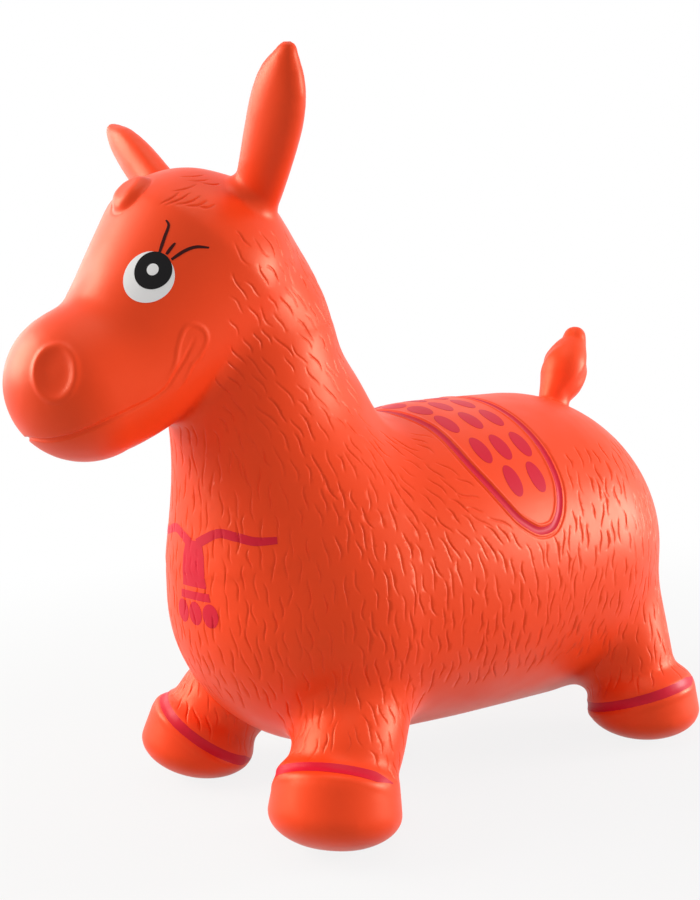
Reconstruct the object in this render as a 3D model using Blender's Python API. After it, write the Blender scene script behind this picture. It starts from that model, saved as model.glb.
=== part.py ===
"""Inflatable ride-on horse: one blow-up vinyl bladder on four stub legs, with ear grips and a plugged valve.

Metres, +Z up, nose towards +X, the horse's left side towards +Y, floor at z = 0.
The bladder is a single moulded skin. Every named region of it is that skin given its wall and cut out
along a seam, and every painted or raised mark is a thin film that follows the same skin.
"""

import math
from dataclasses import dataclass

import bmesh
import bpy
from mathutils import Matrix, Vector
from mathutils.bvhtree import BVHTree

# Barrel: the long round body that the rider sits on. Heights are from the floor to the top of the back.
CHEST_X = 0.076
CHEST_RADIUS = 0.111
WITHERS_HEIGHT = 0.257
BELLY_RADIUS = 0.1195
SEAT_HEIGHT = 0.269
RUMP_X = -0.1095
CROUP_HEIGHT = 0.27
RUMP_CLEARANCE = 0.024       # from the floor to the underside of the rump
RUMP_RADIUS = (CROUP_HEIGHT - RUMP_CLEARANCE) / 2

# Neck: each station is forward of, and above, the one before it, starting from the chest's centre
NECK_BASE_FORWARD = 0.021
NECK_BASE_UP = 0.05
NECK_BASE_RADIUS = 0.102
NECK_MIDDLE_FORWARD = 0.022
NECK_MIDDLE_UP = 0.066
NECK_MIDDLE_RADIUS = 0.068
NECK_TOP_FORWARD = 0.008
NECK_TOP_UP = 0.06
NECK_TOP_RADIUS = 0.06

# Head: skull from the top of the neck, bridge of the nose from the skull, muzzle from the bridge
SKULL_FORWARD = 0.038
SKULL_UP = 0.041
SKULL_RADIUS = 0.069
BRIDGE_FORWARD = 0.049
BRIDGE_DOWN = 0.05
BRIDGE_RADIUS = 0.0505
MUZZLE_FORWARD = 0.031
MUZZLE_DOWN = 0.015
MUZZLE_RADIUS = 0.0475
FORELOCK_LIFT = 54.0         # degrees up from straight ahead, round the skull
FORELOCK_LENGTH = 0.030
FORELOCK_WIDTH = 0.025
FORELOCK_PROUD = 0.009
NOSTRIL_TURN = 44.0
NOSTRIL_LIFT = 10.0
NOSTRIL_WIDTH = 0.025
NOSTRIL_HEIGHT = 0.033
NOSTRIL_DEPTH = 0.004
NOSTRIL_EDGE = 0.7           # the lower, the steeper its rim

# Legs: the root is inside the barrel, and the hoof stands on the floor, splayed forwards or backwards
FRONT_ROOT_FORWARD = 0.02
FRONT_ROOT_SIDE = 0.061
FRONT_ROOT_HEIGHT = 0.079
REAR_ROOT_BACK = 0.037
REAR_ROOT_SIDE = 0.061
REAR_ROOT_HEIGHT = 0.108
FRONT_HOOF_FORWARD = 0.061
FRONT_HOOF_SIDE = 0.087
REAR_HOOF_BACK = 0.041
REAR_HOOF_SIDE = 0.1
FRONT_LEG_RADIUS = 0.035
REAR_LEG_RADIUS = 0.055
PASTERN_RADIUS = 0.0375
PASTERN_HEIGHT = 0.052
HOOF_RADIUS = 0.04
HOOF_HEIGHT = 0.032
BAND_WIDTH = 0.009
BAND_DEPTH = 0.0025          # groove that the band is painted in
FRONT_BAND_HEIGHT = 0.038
FRONT_BAND_TILT = 38.0       # degrees that the hoof points out, the way that its leg is splayed
REAR_BAND_HEIGHT = 0.035
REAR_BAND_TILT = 18.0

# Ears, which the rider holds: root from the skull's centre, tip from the root
EAR_ROOT_BACK = 0.021
EAR_ROOT_SIDE = 0.043
EAR_ROOT_UP = 0.043
EAR_TIP_FORWARD = 0.0155
EAR_TIP_SIDE = 0.0745
EAR_TIP_UP = 0.078
EAR_ROOT_WIDTH = 0.034
EAR_WIDTH = 0.041
EAR_SHOULDER_WIDTH = 0.036
EAR_TIP_WIDTH = 0.019
EAR_THICKNESS = 0.024
EAR_DISH = 0.005
EAR_DISH_SHARPNESS = 3       # how much of the dish is in the middle of the ear
EAR_FULLEST = 0.5            # share of the way from the root to the tip
EAR_SHOULDER = 0.72
EAR_END = 0.91
EAR_TURN_BACK = 0.45         # how far the broad way of the ear leans back and down, for each part sideways
EAR_TURN_DOWN = 0.6

# Tail: a short twisted stub on the croup
TAIL_BACK = 0.0695
TAIL_HEIGHT = 0.071
TAIL_SWEEP = 0.027
TAIL_ROOT_WIDTH = 0.027
TAIL_WIDTH = 0.040
TAIL_TIP_WIDTH = 0.021
TAIL_SWELL = 0.19            # shares of the way from the root to the tip
TAIL_FULLEST = 0.52
TAIL_KNOB = 0.83
TAIL_END = 0.91

# Saddle: a raised rim over the back, drawn in to a rounded tip on each side
SADDLE_X = -0.020
SADDLE_LENGTH = 0.083
SADDLE_TIP_BACK = 0.012
SADDLE_FULLNESS = 3.8        # how square the tips are
SADDLE_REACH = 79.5          # degrees round the barrel from its top to the tip
RIM_WIDTH = 0.007
RIM_HEIGHT = 0.0025
SADDLE_FAN_DEPTH = 0.05      # how far its outline is carried inside and outside the barrel

# Eyes, on the side of the skull. Turns are towards the nose and lifts are up, in degrees from sideways.
EYE_TURN = 51.0
EYE_LIFT = -3.5
EYE_WIDTH = 0.030
EYE_HEIGHT = 0.030
PUPIL_WIDTH = 0.022
PUPIL_BACK = 0.0025
PUPIL_UP = 0.0028

# Valve under the belly: a thick collar in the wall and a push-in plug
VALVE_X = -0.020
COLLAR_RADIUS = 0.014
COLLAR_DEPTH = 0.010
BORE_RADIUS = 0.0050
PLUG_CAP_RADIUS = 0.0105
PLUG_CAP_THICKNESS = 0.0028
PLUG_STEM_LENGTH = 0.014

# Seams between the named regions of the skin
NECK_SEAM_UP = 0.034
NECK_SEAM_TILT = 24.0
HEAD_SEAM_UP = 0.014
HEAD_SEAM_TILT = 53.0
SNOUT_SEAM = 0.006
SNOUT_MARGIN = 0.008
LEG_SEAM_MARGIN = 0.006      # from the leg's own surface out to its seam with the barrel
HOOF_SEAM_MARGIN = 0.005
EAR_SEAM_RADIUS = 0.026
EAR_FLEX = 0.034             # along the ear, from its root to where the soft part ends
TAIL_SEAM_RADIUS = 0.026
TAIL_FLEX = 0.014
STUB_DEPTH = 0.016           # how far a stub's cutter starts under the skin

# Skin
WALL = 0.0030
FILM = 0.0008
GAP = 0.0003
NECK_FILLET = 0.0385
HEAD_FILLET = 0.037
LEG_FILLET = 0.036
EAR_FILLET = 0.010
TAIL_FILLET = 0.006
FORELOCK_FILLET = 0.006
GRAIN = 0.005                # spacing of the points that the skin is shaped from
FILLET_PASSES = 60
SKIN_TRIANGLES = 4000
LINING_TRIANGLES = 2300
SOLE_FLATNESS = 0.0006

RING_POINTS = 36
CUTTER_SIDES = 32
TURNED_SIDES = 24
SADDLE_STEPS = 10
MERGE = 0.00001
RINGS_PER_SPAN = 8
DOME_RINGS = 6
DOME_TURN = 88.0             # degrees of the dome's quarter circle that the rings cover
EVEN_PASSES = 4
SEAM_CUTTER_SIZE = 1.0


@dataclass
class Ring:
    """One cross-section of a form: where it is, and its half sizes across the body and along it."""

    centre: Vector
    across: float
    deep: float


def between(a, b, c, d, t):
    """The smooth curve through four values, from b at t = 0 to c at t = 1."""
    first = (c - a) * (t / 2)
    second = (a * 2 - b * 5 + c * 4 - d) * (t * t / 2)
    third = (b * 3 - a - c * 3 + d) * (t**3 / 2)
    return b + first + second + third


def smoothed(rings):
    """The rings with more of them between, on a smooth curve through the given ones."""
    ends = [rings[0], *rings, rings[-1]]
    result = []
    for first, second, third, fourth in zip(ends, ends[1:], ends[2:], ends[3:]):
        for step in range(RINGS_PER_SPAN):
            t = step / RINGS_PER_SPAN
            result.append(
                Ring(
                    between(first.centre, second.centre, third.centre, fourth.centre, t),
                    between(first.across, second.across, third.across, fourth.across, t),
                    between(first.deep, second.deep, third.deep, fourth.deep, t),
                )
            )
    return result + [rings[-1]]


def domed(rings):
    """The rings with a round dome of smaller ones added at each end."""
    def dome(end, outward):
        reach = (end.across + end.deep) / 2
        for step in range(1, DOME_RINGS + 1):
            angle = math.radians(DOME_TURN) * step / DOME_RINGS
            size = math.cos(angle)
            yield Ring(end.centre + outward * (reach * math.sin(angle)), end.across * size, end.deep * size)

    back = (rings[0].centre - rings[1].centre).normalized()
    ahead = (rings[-1].centre - rings[-2].centre).normalized()
    return [*reversed(list(dome(rings[0], back))), *rings, *dome(rings[-1], ahead)]


def form(rings, side, dish=0.0):
    """A closed round form lofted through rings, as a bmesh. A dish hollows its front by that depth."""
    front = (rings[-1].centre - rings[0].centre).cross(side)
    face = math.copysign(1, front.x)
    rings = domed(smoothed(rings))
    bm = bmesh.new()
    loops = []
    for index, ring in enumerate(rings):
        before = rings[max(index - 1, 0)].centre
        after = rings[min(index + 1, len(rings) - 1)].centre
        along = (after - before).normalized()
        across = (side - along * side.dot(along)).normalized()
        deep = along.cross(across) * face
        loop = []
        for point in range(RING_POINTS):
            angle = 2 * math.pi * point / RING_POINTS
            front = max(math.sin(angle), 0.0)
            share = min(ring.across, ring.deep) / rings[len(rings) // 2].deep
            inset = dish * front**EAR_DISH_SHARPNESS * share
            place = across * (ring.across * math.cos(angle)) + deep * (ring.deep * math.sin(angle) - inset)
            loop.append(bm.verts.new(ring.centre + place))
        loops.append(loop)
    for lower, upper in zip(loops, loops[1:]):
        for point in range(RING_POINTS):
            following = (point + 1) % RING_POINTS
            bm.faces.new((lower[point], lower[following], upper[following], upper[point]))
    bm.faces.new(list(reversed(loops[0])))
    bm.faces.new(loops[-1])
    bmesh.ops.recalc_face_normals(bm, faces=bm.faces)
    return bm


@dataclass
class Member:
    """One form of the bladder, with the radius of the fillet where it grows out of an earlier form."""

    name: str
    shape: bmesh.types.BMesh
    fillet: float


def draw_in(skin, leg):
    """Draws the skin in round a leg, in a soft groove for the painted band."""
    for vertex in skin.vertices:
        offset = vertex.co - leg.band
        height = offset.dot(leg.down)
        spoke = offset - leg.down * height
        share = (height / BAND_WIDTH) ** 2
        if share < 1 and spoke.length < leg.seam_radius:
            vertex.co -= spoke.normalized() * (BAND_DEPTH * (1 - share) ** 2)


def helper(name, mesh):
    """A guide or cutter that shows as wire and isn't part of the model."""
    obj = bpy.data.objects.new(name, mesh)
    obj.hide_render = True
    obj.display_type = "WIRE"
    bpy.context.scene.collection.objects.link(obj)
    return obj


def evaluated_mesh(obj):
    """A copy of the object's mesh as its modifiers leave it."""
    bpy.context.view_layer.update()
    graph = bpy.context.evaluated_depsgraph_get()
    return bpy.data.meshes.new_from_object(obj.evaluated_get(graph))


def tree_of(mesh):
    """The mesh as a tree that finds where a line meets it."""
    points = [vertex.co for vertex in mesh.vertices]
    return BVHTree.FromPolygons(points, [face.vertices for face in mesh.polygons])


def fused(members):
    """The members as one closed skin, filleted where they meet."""
    joined = bmesh.new()
    trees = []
    for member in members:
        mesh = bpy.data.meshes.new(member.name)
        member.shape.to_mesh(mesh)
        joined.from_mesh(mesh)
        trees.append(BVHTree.FromBMesh(member.shape))
    forms = helper("forms", bpy.data.meshes.new("forms"))
    joined.to_mesh(forms.data)
    remesh = forms.modifiers.new("one skin", "REMESH")
    remesh.mode = "VOXEL"
    remesh.voxel_size = GRAIN
    skin = helper("skin", evaluated_mesh(forms))
    forms.modifiers.remove(remesh)

    fillets = skin.vertex_groups.new(name="fillets")
    limbs = skin.vertex_groups.new(name="limbs")
    for vertex in skin.data.vertices:
        away = [tree.find_nearest(vertex.co)[3] for tree in trees]
        own = min(range(len(members)), key=away.__getitem__)
        others = [index for index in range(len(members)) if index != own]
        near = max(1 - away[other] / members[max(own, other)].fillet for other in others)
        weight = min(max(near, 0.0), 1.0)
        fillets.add([vertex.index], weight, "REPLACE")
        limbs.add([vertex.index], 1 - weight, "REPLACE")

    even = skin.modifiers.new("even", "SMOOTH")
    even.iterations = EVEN_PASSES
    onto = skin.modifiers.new("onto the forms", "SHRINKWRAP")
    onto.target = forms
    onto.vertex_group = limbs.name
    round_off = skin.modifiers.new("fillets", "SMOOTH")
    round_off.iterations = FILLET_PASSES
    round_off.vertex_group = fillets.name
    return skin


def press(skin, at, inward, width, height, depth):
    """Presses a soft oval hollow into the skin's points."""
    side = inward.cross(Vector((0, 0, 1))).normalized()
    up = side.cross(inward).normalized()
    for vertex in skin.vertices:
        offset = vertex.co - at
        share = (offset.dot(side) / (width / 2)) ** 2 + (offset.dot(up) / (height / 2)) ** 2
        if share < 1 and abs(offset.dot(inward)) < width:
            vertex.co += inward * (depth * (1 - share) ** NOSTRIL_EDGE)


SIDEWAYS = Vector((0, 1, 0))
UP = Vector((0, 0, 1))
SIDES = {"left": 1, "right": -1}

CHEST = Vector((CHEST_X, 0, WITHERS_HEIGHT - CHEST_RADIUS))
BELLY = Vector((0, 0, SEAT_HEIGHT - BELLY_RADIUS))
RUMP = Vector((RUMP_X, 0, CROUP_HEIGHT - RUMP_RADIUS))
NECK_BASE = CHEST + Vector((NECK_BASE_FORWARD, 0, NECK_BASE_UP))
NECK_MIDDLE = NECK_BASE + Vector((NECK_MIDDLE_FORWARD, 0, NECK_MIDDLE_UP))
NECK_TOP = NECK_MIDDLE + Vector((NECK_TOP_FORWARD, 0, NECK_TOP_UP))
SKULL = NECK_TOP + Vector((SKULL_FORWARD, 0, SKULL_UP))
BRIDGE = SKULL + Vector((BRIDGE_FORWARD, 0, -BRIDGE_DOWN))
MUZZLE = BRIDGE + Vector((MUZZLE_FORWARD, 0, -MUZZLE_DOWN))


@dataclass
class Leg:
    """One leg: its axis from inside the barrel to the middle of its hoof, and the plane of its band."""

    name: str
    root: Vector
    hoof: Vector
    radius: float
    band_height: float
    band_tilt: float

    @property
    def along(self):
        """The way from the barrel to the hoof."""
        return (self.hoof - self.root).normalized()

    @property
    def pastern(self):
        """The drawn-in place above the hoof."""
        share = (self.root.z - PASTERN_HEIGHT) / (self.root.z - self.hoof.z)
        return self.root.lerp(self.hoof, share)

    @property
    def seam_radius(self):
        """How wide the seam with the barrel runs round the leg."""
        return max(self.radius, HOOF_RADIUS) + LEG_SEAM_MARGIN

    @property
    def below(self):
        """A point on the leg's axis that is well below the hoof."""
        return self.hoof + self.along * self.seam_radius

    @property
    def band(self):
        """The middle of the band, on the hoof's own axis."""
        return self.hoof + self.down * ((self.band_height - self.hoof.z) / self.down.z)

    @property
    def down(self):
        """The way that the hoof points, square to the band and leaning out as the leg is splayed."""
        tilt = math.radians(self.band_tilt)
        splay = Vector((self.along.x, self.along.y, 0)).normalized()
        return splay * math.sin(tilt) - UP * math.cos(tilt)


def legs():
    """The four legs, each with its place and lean."""
    result = []
    for side, sign in SIDES.items():
        root = Vector((CHEST_X + FRONT_ROOT_FORWARD, sign * FRONT_ROOT_SIDE, FRONT_ROOT_HEIGHT))
        hoof = Vector((CHEST_X + FRONT_HOOF_FORWARD, sign * FRONT_HOOF_SIDE, HOOF_HEIGHT))
        result.append(Leg(f"front_{side}", root, hoof, FRONT_LEG_RADIUS, FRONT_BAND_HEIGHT, FRONT_BAND_TILT))
        root = Vector((RUMP_X - REAR_ROOT_BACK, sign * REAR_ROOT_SIDE, REAR_ROOT_HEIGHT))
        hoof = Vector((RUMP_X - REAR_HOOF_BACK, sign * REAR_HOOF_SIDE, HOOF_HEIGHT))
        result.append(Leg(f"rear_{side}", root, hoof, REAR_LEG_RADIUS, REAR_BAND_HEIGHT, REAR_BAND_TILT))
    return result


def ear_axis(sign):
    """The root and the tip of an ear."""
    root = SKULL + Vector((-EAR_ROOT_BACK, sign * EAR_ROOT_SIDE, EAR_ROOT_UP))
    return root, root + Vector((EAR_TIP_FORWARD, sign * EAR_TIP_SIDE, EAR_TIP_UP))


def tail_axis():
    """The root and the tip of the tail: the root is on the rump's round top."""
    drop = math.sqrt(max(RUMP_RADIUS**2 - TAIL_BACK**2, 0.0))
    root = RUMP + Vector((-TAIL_BACK, 0, drop))
    return root, root + Vector((-TAIL_SWEEP, 0, TAIL_HEIGHT))


def bladder_members():
    """Every form that the bladder is blown from, largest first."""
    def round_rings(*stations):
        return [Ring(centre, radius, radius) for centre, radius in stations]

    barrel = round_rings((CHEST, CHEST_RADIUS), (BELLY, BELLY_RADIUS), (RUMP, RUMP_RADIUS))
    neck = round_rings(
        (NECK_BASE, NECK_BASE_RADIUS), (NECK_MIDDLE, NECK_MIDDLE_RADIUS), (NECK_TOP, NECK_TOP_RADIUS)
    )
    head = round_rings((SKULL, SKULL_RADIUS), (BRIDGE, BRIDGE_RADIUS), (MUZZLE, MUZZLE_RADIUS))
    members = [
        Member("barrel", form(barrel, SIDEWAYS), GAP),
        Member("neck", form(neck, SIDEWAYS), NECK_FILLET),
        Member("head", form(head, SIDEWAYS), HEAD_FILLET),
    ]
    for leg in legs():
        rings = round_rings((leg.root, leg.radius), (leg.pastern, PASTERN_RADIUS), (leg.hoof, HOOF_RADIUS))
        members.append(Member(leg.name, form(rings, SIDEWAYS), LEG_FILLET))
    for sign in SIDES.values():
        root, tip = ear_axis(sign)
        widths = (
            (0.0, EAR_ROOT_WIDTH),
            (EAR_FULLEST, EAR_WIDTH),
            (EAR_SHOULDER, EAR_SHOULDER_WIDTH),
            (EAR_END, EAR_TIP_WIDTH),
        )
        rings = []
        for share, width in widths:
            rings.append(Ring(root.lerp(tip, share), width / 2, min(width, EAR_THICKNESS) / 2))
        broad = Vector((-EAR_TURN_BACK, sign, -EAR_TURN_DOWN))
        members.append(Member("ear", form(rings, broad, EAR_DISH), EAR_FILLET))
    root, tip = tail_axis()
    widths = (
        (0.0, TAIL_ROOT_WIDTH),
        (TAIL_SWELL, TAIL_ROOT_WIDTH),
        (TAIL_FULLEST, TAIL_WIDTH),
        (TAIL_KNOB, TAIL_TIP_WIDTH),
        (TAIL_END, TAIL_TIP_WIDTH),
    )
    rings = round_rings(*[(root.lerp(tip, share), width / 2) for share, width in widths])
    members.append(Member("tail", form(rings, SIDEWAYS), TAIL_FILLET))
    lift = math.radians(FORELOCK_LIFT)
    outward = Vector((math.cos(lift), 0, math.sin(lift)))
    along = Vector((math.sin(lift), 0, -math.cos(lift)))
    middle = SKULL + outward * (SKULL_RADIUS + FORELOCK_PROUD - FORELOCK_WIDTH / 2)
    half = along * ((FORELOCK_LENGTH - FORELOCK_WIDTH) / 2)
    rings = round_rings((middle - half, FORELOCK_WIDTH / 2), (middle + half, FORELOCK_WIDTH / 2))
    members.append(Member("forelock", form(rings, SIDEWAYS), FORELOCK_FILLET))
    return members


def cylinder(name, start, end, radius):
    """A round cutter from start to end."""
    along = end - start
    turn = along.to_track_quat("Z", "Y").to_matrix().to_4x4()
    bm = bmesh.new()
    bmesh.ops.create_cone(
        bm,
        cap_ends=True,
        segments=CUTTER_SIDES,
        radius1=radius,
        radius2=radius,
        depth=along.length,
        matrix=Matrix.Translation((start + end) / 2) @ turn,
    )
    return cutter(name, bm)


def oval_prism(name, at, outward, width, height):
    """An oval cutter that stands across the skin at a point."""
    side = UP.cross(outward).normalized()
    up = outward.cross(side)
    axes = Matrix((side * (width / 2), up * (height / 2), outward * height)).transposed().to_4x4()
    bm = bmesh.new()
    bmesh.ops.create_cone(
        bm,
        cap_ends=True,
        segments=CUTTER_SIDES,
        radius1=1,
        radius2=1,
        depth=1,
        matrix=Matrix.Translation(at) @ axes,
    )
    return cutter(name, bm)


def half_space(name, point, normal):
    """A cutter that holds everything beyond a plane."""
    size = SEAM_CUTTER_SIZE
    turn = normal.to_track_quat("Z", "Y").to_matrix().to_4x4()
    bm = bmesh.new()
    bmesh.ops.create_cube(bm, size=size, matrix=Matrix.Translation(point + normal * (size / 2)) @ turn)
    return cutter(name, bm)


def cutter(name, bm):
    """A hidden cutter made from a bmesh."""
    mesh = bpy.data.meshes.new(name)
    bm.to_mesh(mesh)
    bm.free()
    return helper(name, mesh)


def painted(name, colour, roughness=0.35):
    """A plain finish of one colour."""
    finish = bpy.data.materials.new(name)
    finish.use_nodes = True
    shader = finish.node_tree.nodes["Principled BSDF"]
    shader.inputs["Base Color"].default_value = (*colour, 1)
    shader.inputs["Roughness"].default_value = roughness
    return finish


@dataclass
class Bladder:
    """The finished skin, and the empty that carries every piece cut from it."""

    skin: bpy.types.Mesh
    air: bpy.types.Object
    root: bpy.types.Object

    def __post_init__(self):
        self.tree = tree_of(self.skin)
        self.skin.materials.append(None)

    def on_skin(self, inside, outward):
        """Where a line from inside the bladder leaves it, and the way the skin faces there."""
        point, normal, _, _ = self.tree.ray_cast(inside, outward)
        return point, normal

    def pivot(self, name, at):
        """An empty on a joint's axis."""
        empty = bpy.data.objects.new(name, None)
        empty.parent = self.root
        empty.location = at
        bpy.context.scene.collection.objects.link(empty)
        return empty

    def add(self, name, mesh, finish, pivot=None):
        """A named piece with its own finish, on the root or on a joint's empty."""
        obj = bpy.data.objects.new(name, mesh)
        bpy.context.scene.collection.objects.link(obj)
        obj.parent = pivot or self.root
        if pivot:
            obj.location = -pivot.location
        if not mesh.materials:
            mesh.materials.append(None)
        obj.material_slots[0].link = "OBJECT"
        obj.material_slots[0].material = finish
        return obj

    def region(self, name, finish, keep=(), remove=(), pivot=None):
        """Part of the bladder's own wall, hollow inside."""
        obj = self.add(name, self.skin, finish, pivot)
        cut(obj, keep, [*remove, self.air])
        return obj

    def film(self, name, finish, thickness, lift, keep=(), remove=(), pivot=None):
        """A raised or painted mark that follows the skin, lifted clear of what it lies on."""
        obj = self.add(name, self.skin, finish, pivot)
        clear = obj.modifiers.new("clear of the skin", "DISPLACE")
        clear.mid_level = 0
        clear.strength = lift
        wall = obj.modifiers.new("film", "SOLIDIFY")
        wall.thickness = thickness
        wall.offset = 1
        cut(obj, keep, remove)
        return obj


def cut(obj, keep, remove):
    """Keeps what is inside some cutters and removes what is inside others."""
    for operation, cutters in (("INTERSECT", keep), ("DIFFERENCE", remove)):
        for other in cutters:
            boolean = obj.modifiers.new(other.name, "BOOLEAN")
            boolean.operation = operation
            boolean.object = other


def turned(name, profile):
    """A turned piece: its outline, as (radius, height) points, spun about the upright axis."""
    bm = bmesh.new()
    points = [bm.verts.new((radius, 0, height)) for radius, height in profile]
    edges = [bm.edges.new(pair) for pair in zip(points, points[1:] + points[:1])]
    bmesh.ops.spin(
        bm,
        geom=points + edges,
        cent=(0, 0, 0),
        axis=UP,
        angle=2 * math.pi,
        steps=TURNED_SIDES,
        use_merge=True,
    )
    bmesh.ops.remove_doubles(bm, verts=bm.verts, dist=MERGE)
    bmesh.ops.delete(bm, geom=[edge for edge in bm.edges if edge.is_wire], context="EDGES")
    bmesh.ops.recalc_face_normals(bm, faces=bm.faces)
    mesh = bpy.data.meshes.new(name)
    bm.to_mesh(mesh)
    bm.free()
    return mesh


def saddle_fan(name, inset):
    """A fan round the barrel's axis with the saddle's outline, drawn in by the inset."""
    reach = math.radians(SADDLE_REACH) - inset / BELLY_RADIUS
    low, high = BELLY_RADIUS - SADDLE_FAN_DEPTH, BELLY_RADIUS + SADDLE_FAN_DEPTH
    bm = bmesh.new()
    rows = []
    for step in range(-SADDLE_STEPS, SADDLE_STEPS + 1):
        share = math.sin(math.pi / 2 * step / SADDLE_STEPS)
        angle = reach * share
        half = (SADDLE_LENGTH / 2 - inset) * (1 - abs(share) ** SADDLE_FULLNESS) ** 0.5
        middle = SADDLE_X - SADDLE_TIP_BACK * share * share
        outward = Vector((0, math.sin(angle), math.cos(angle)))
        row = []
        for radius, x in ((low, half), (low, -half), (high, -half), (high, half)):
            row.append(bm.verts.new(Vector((middle + x, 0, BELLY.z)) + outward * radius))
        rows.append(row)
    for lower, upper in zip(rows, rows[1:]):
        for corner in range(4):
            following = (corner + 1) % 4
            bm.faces.new((lower[corner], lower[following], upper[following], upper[corner]))
    bm.faces.new(rows[0])
    bm.faces.new(reversed(rows[-1]))
    bmesh.ops.remove_doubles(bm, verts=bm.verts, dist=MERGE)
    bmesh.ops.recalc_face_normals(bm, faces=bm.faces)
    return cutter(name, bm)


def finished(shaped):
    """The shaped skin with its nostrils pressed in and its soles flat, and the air space inside its wall."""
    fine = evaluated_mesh(shaped)
    tree = tree_of(fine)
    for sign in SIDES.values():
        at, normal, _, _ = tree.ray_cast(MUZZLE, aim(NOSTRIL_TURN, NOSTRIL_LIFT, sign))
        press(fine, at, -normal, NOSTRIL_WIDTH, NOSTRIL_HEIGHT, NOSTRIL_DEPTH)
    for leg in legs():
        draw_in(fine, leg)
    for vertex in fine.vertices:
        vertex.co.z = max(vertex.co.z, 0)
    skin = thinned("outer skin", fine, SKIN_TRIANGLES)
    for vertex in skin.vertices:
        if vertex.co.z < SOLE_FLATNESS:
            vertex.co.z = 0
    skin.shade_smooth()

    lining = helper("lining", fine)
    inwards = lining.modifiers.new("inside the wall", "DISPLACE")
    inwards.mid_level = 0
    inwards.strength = -WALL
    remesh = lining.modifiers.new("one space", "REMESH")
    remesh.mode = "VOXEL"
    remesh.voxel_size = GRAIN
    lining.modifiers.new("even", "SMOOTH").iterations = EVEN_PASSES
    return skin, thinned("inner skin", largest_island(evaluated_mesh(lining)), LINING_TRIANGLES)


def thinned(name, mesh, triangles):
    """The mesh with about as many triangles as asked."""
    mesh.calc_loop_triangles()
    obj = helper(name, mesh)
    fewer = obj.modifiers.new("fewer faces", "DECIMATE")
    fewer.ratio = triangles / len(mesh.loop_triangles)
    return evaluated_mesh(obj)


def largest_island(mesh):
    """The mesh without any small shell that came loose from it."""
    bm = bmesh.new()
    bm.from_mesh(mesh)
    islands = []
    left = set(bm.verts)
    while left:
        island, edge_of = set(), [left.pop()]
        while edge_of:
            vertex = edge_of.pop()
            island.add(vertex)
            fresh = {edge.other_vert(vertex) for edge in vertex.link_edges} & left
            left -= fresh
            edge_of.extend(fresh)
        islands.append(island)
    islands.sort(key=len)
    bmesh.ops.delete(bm, geom=[vertex for island in islands[:-1] for vertex in island], context="VERTS")
    bm.to_mesh(mesh)
    bm.free()
    return mesh


def aim(turn, lift, sign):
    """The way that is turned from sideways towards the nose, and lifted, in degrees."""
    turn, lift = math.radians(turn), math.radians(lift)
    return Vector((math.sin(turn) * math.cos(lift), sign * math.cos(turn) * math.cos(lift), math.sin(lift)))


def build_trunk(bladder, coat):
    """Barrel, neck, head and muzzle, and the cutters where limbs leave them."""
    tilt = math.radians(NECK_SEAM_TILT)
    neck_up = Vector((math.sin(tilt), 0, math.cos(tilt)))
    neck_seam = NECK_BASE + neck_up * NECK_SEAM_UP
    tilt = math.radians(HEAD_SEAM_TILT)
    head_up = Vector((math.sin(tilt), 0, math.cos(tilt)))
    head_seam = NECK_TOP + head_up * HEAD_SEAM_UP
    above_neck = half_space("above_neck_seam", neck_seam, neck_up)
    neck_side = half_space("neck_side_of_seam", neck_seam + neck_up * GAP, neck_up)
    above_head = half_space("above_head_seam", head_seam, head_up)
    head_side = half_space("head_side_of_seam", head_seam + head_up * GAP, head_up)
    ahead = (MUZZLE - BRIDGE).normalized()
    snout = max(BRIDGE_RADIUS, MUZZLE_RADIUS) + SNOUT_MARGIN
    snout_end = MUZZLE + ahead * (2 * MUZZLE_RADIUS)
    ahead_of_snout = cylinder("ahead_of_snout_seam", BRIDGE + ahead * SNOUT_SEAM, snout_end, snout)
    snout_side = cylinder("snout_side_of_seam", BRIDGE + ahead * (SNOUT_SEAM + GAP), snout_end, snout - GAP)
    limbs, ears = [], []
    for leg in legs():
        limbs.append(cylinder(f"leg_{leg.name}_seam", leg.root, leg.below, leg.seam_radius))
    start, end = stub_span(*tail_axis())
    limbs.append(cylinder("tail_seam", start, end, TAIL_SEAM_RADIUS))
    for side, sign in SIDES.items():
        start, end = stub_span(*ear_axis(sign))
        ears.append(cylinder(f"ear_{side}_seam", start, end, EAR_SEAM_RADIUS))
    valve_top = Vector((VALVE_X, 0, BELLY.z))
    hole = cylinder("valve_hole", Vector((VALVE_X, 0, 0)), valve_top, COLLAR_RADIUS + GAP)
    bladder.region("barrel", coat, remove=[above_neck, *limbs, hole])
    bladder.region("neck", coat, keep=[neck_side], remove=[above_head])
    bladder.region("head", coat, keep=[head_side], remove=[ahead_of_snout, *ears])
    bladder.region("muzzle", coat, keep=[snout_side])


def stub_span(root, tip):
    """The line of a stub's cutter, from under the skin at its root to past its tip."""
    along = (tip - root).normalized()
    return root - along * STUB_DEPTH, tip + along * STUB_DEPTH


def build_stub(bladder, coat, root_name, tip_name, axis, radius, flex):
    """An ear or the tail: a soft root and the part that it carries on a joint."""
    root, tip = axis
    along = (tip - root).normalized()
    start, end = stub_span(root, tip)
    bend = root + along * flex
    soft = cylinder(f"{root_name}_side", start + along * GAP, bend, radius - GAP)
    firm = cylinder(f"{tip_name}_side", bend + along * GAP, end, radius - GAP)
    bladder.region(root_name, coat, keep=[soft])
    bladder.region(tip_name, coat, keep=[firm], pivot=bladder.pivot(f"{tip_name}_flex", root))


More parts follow.
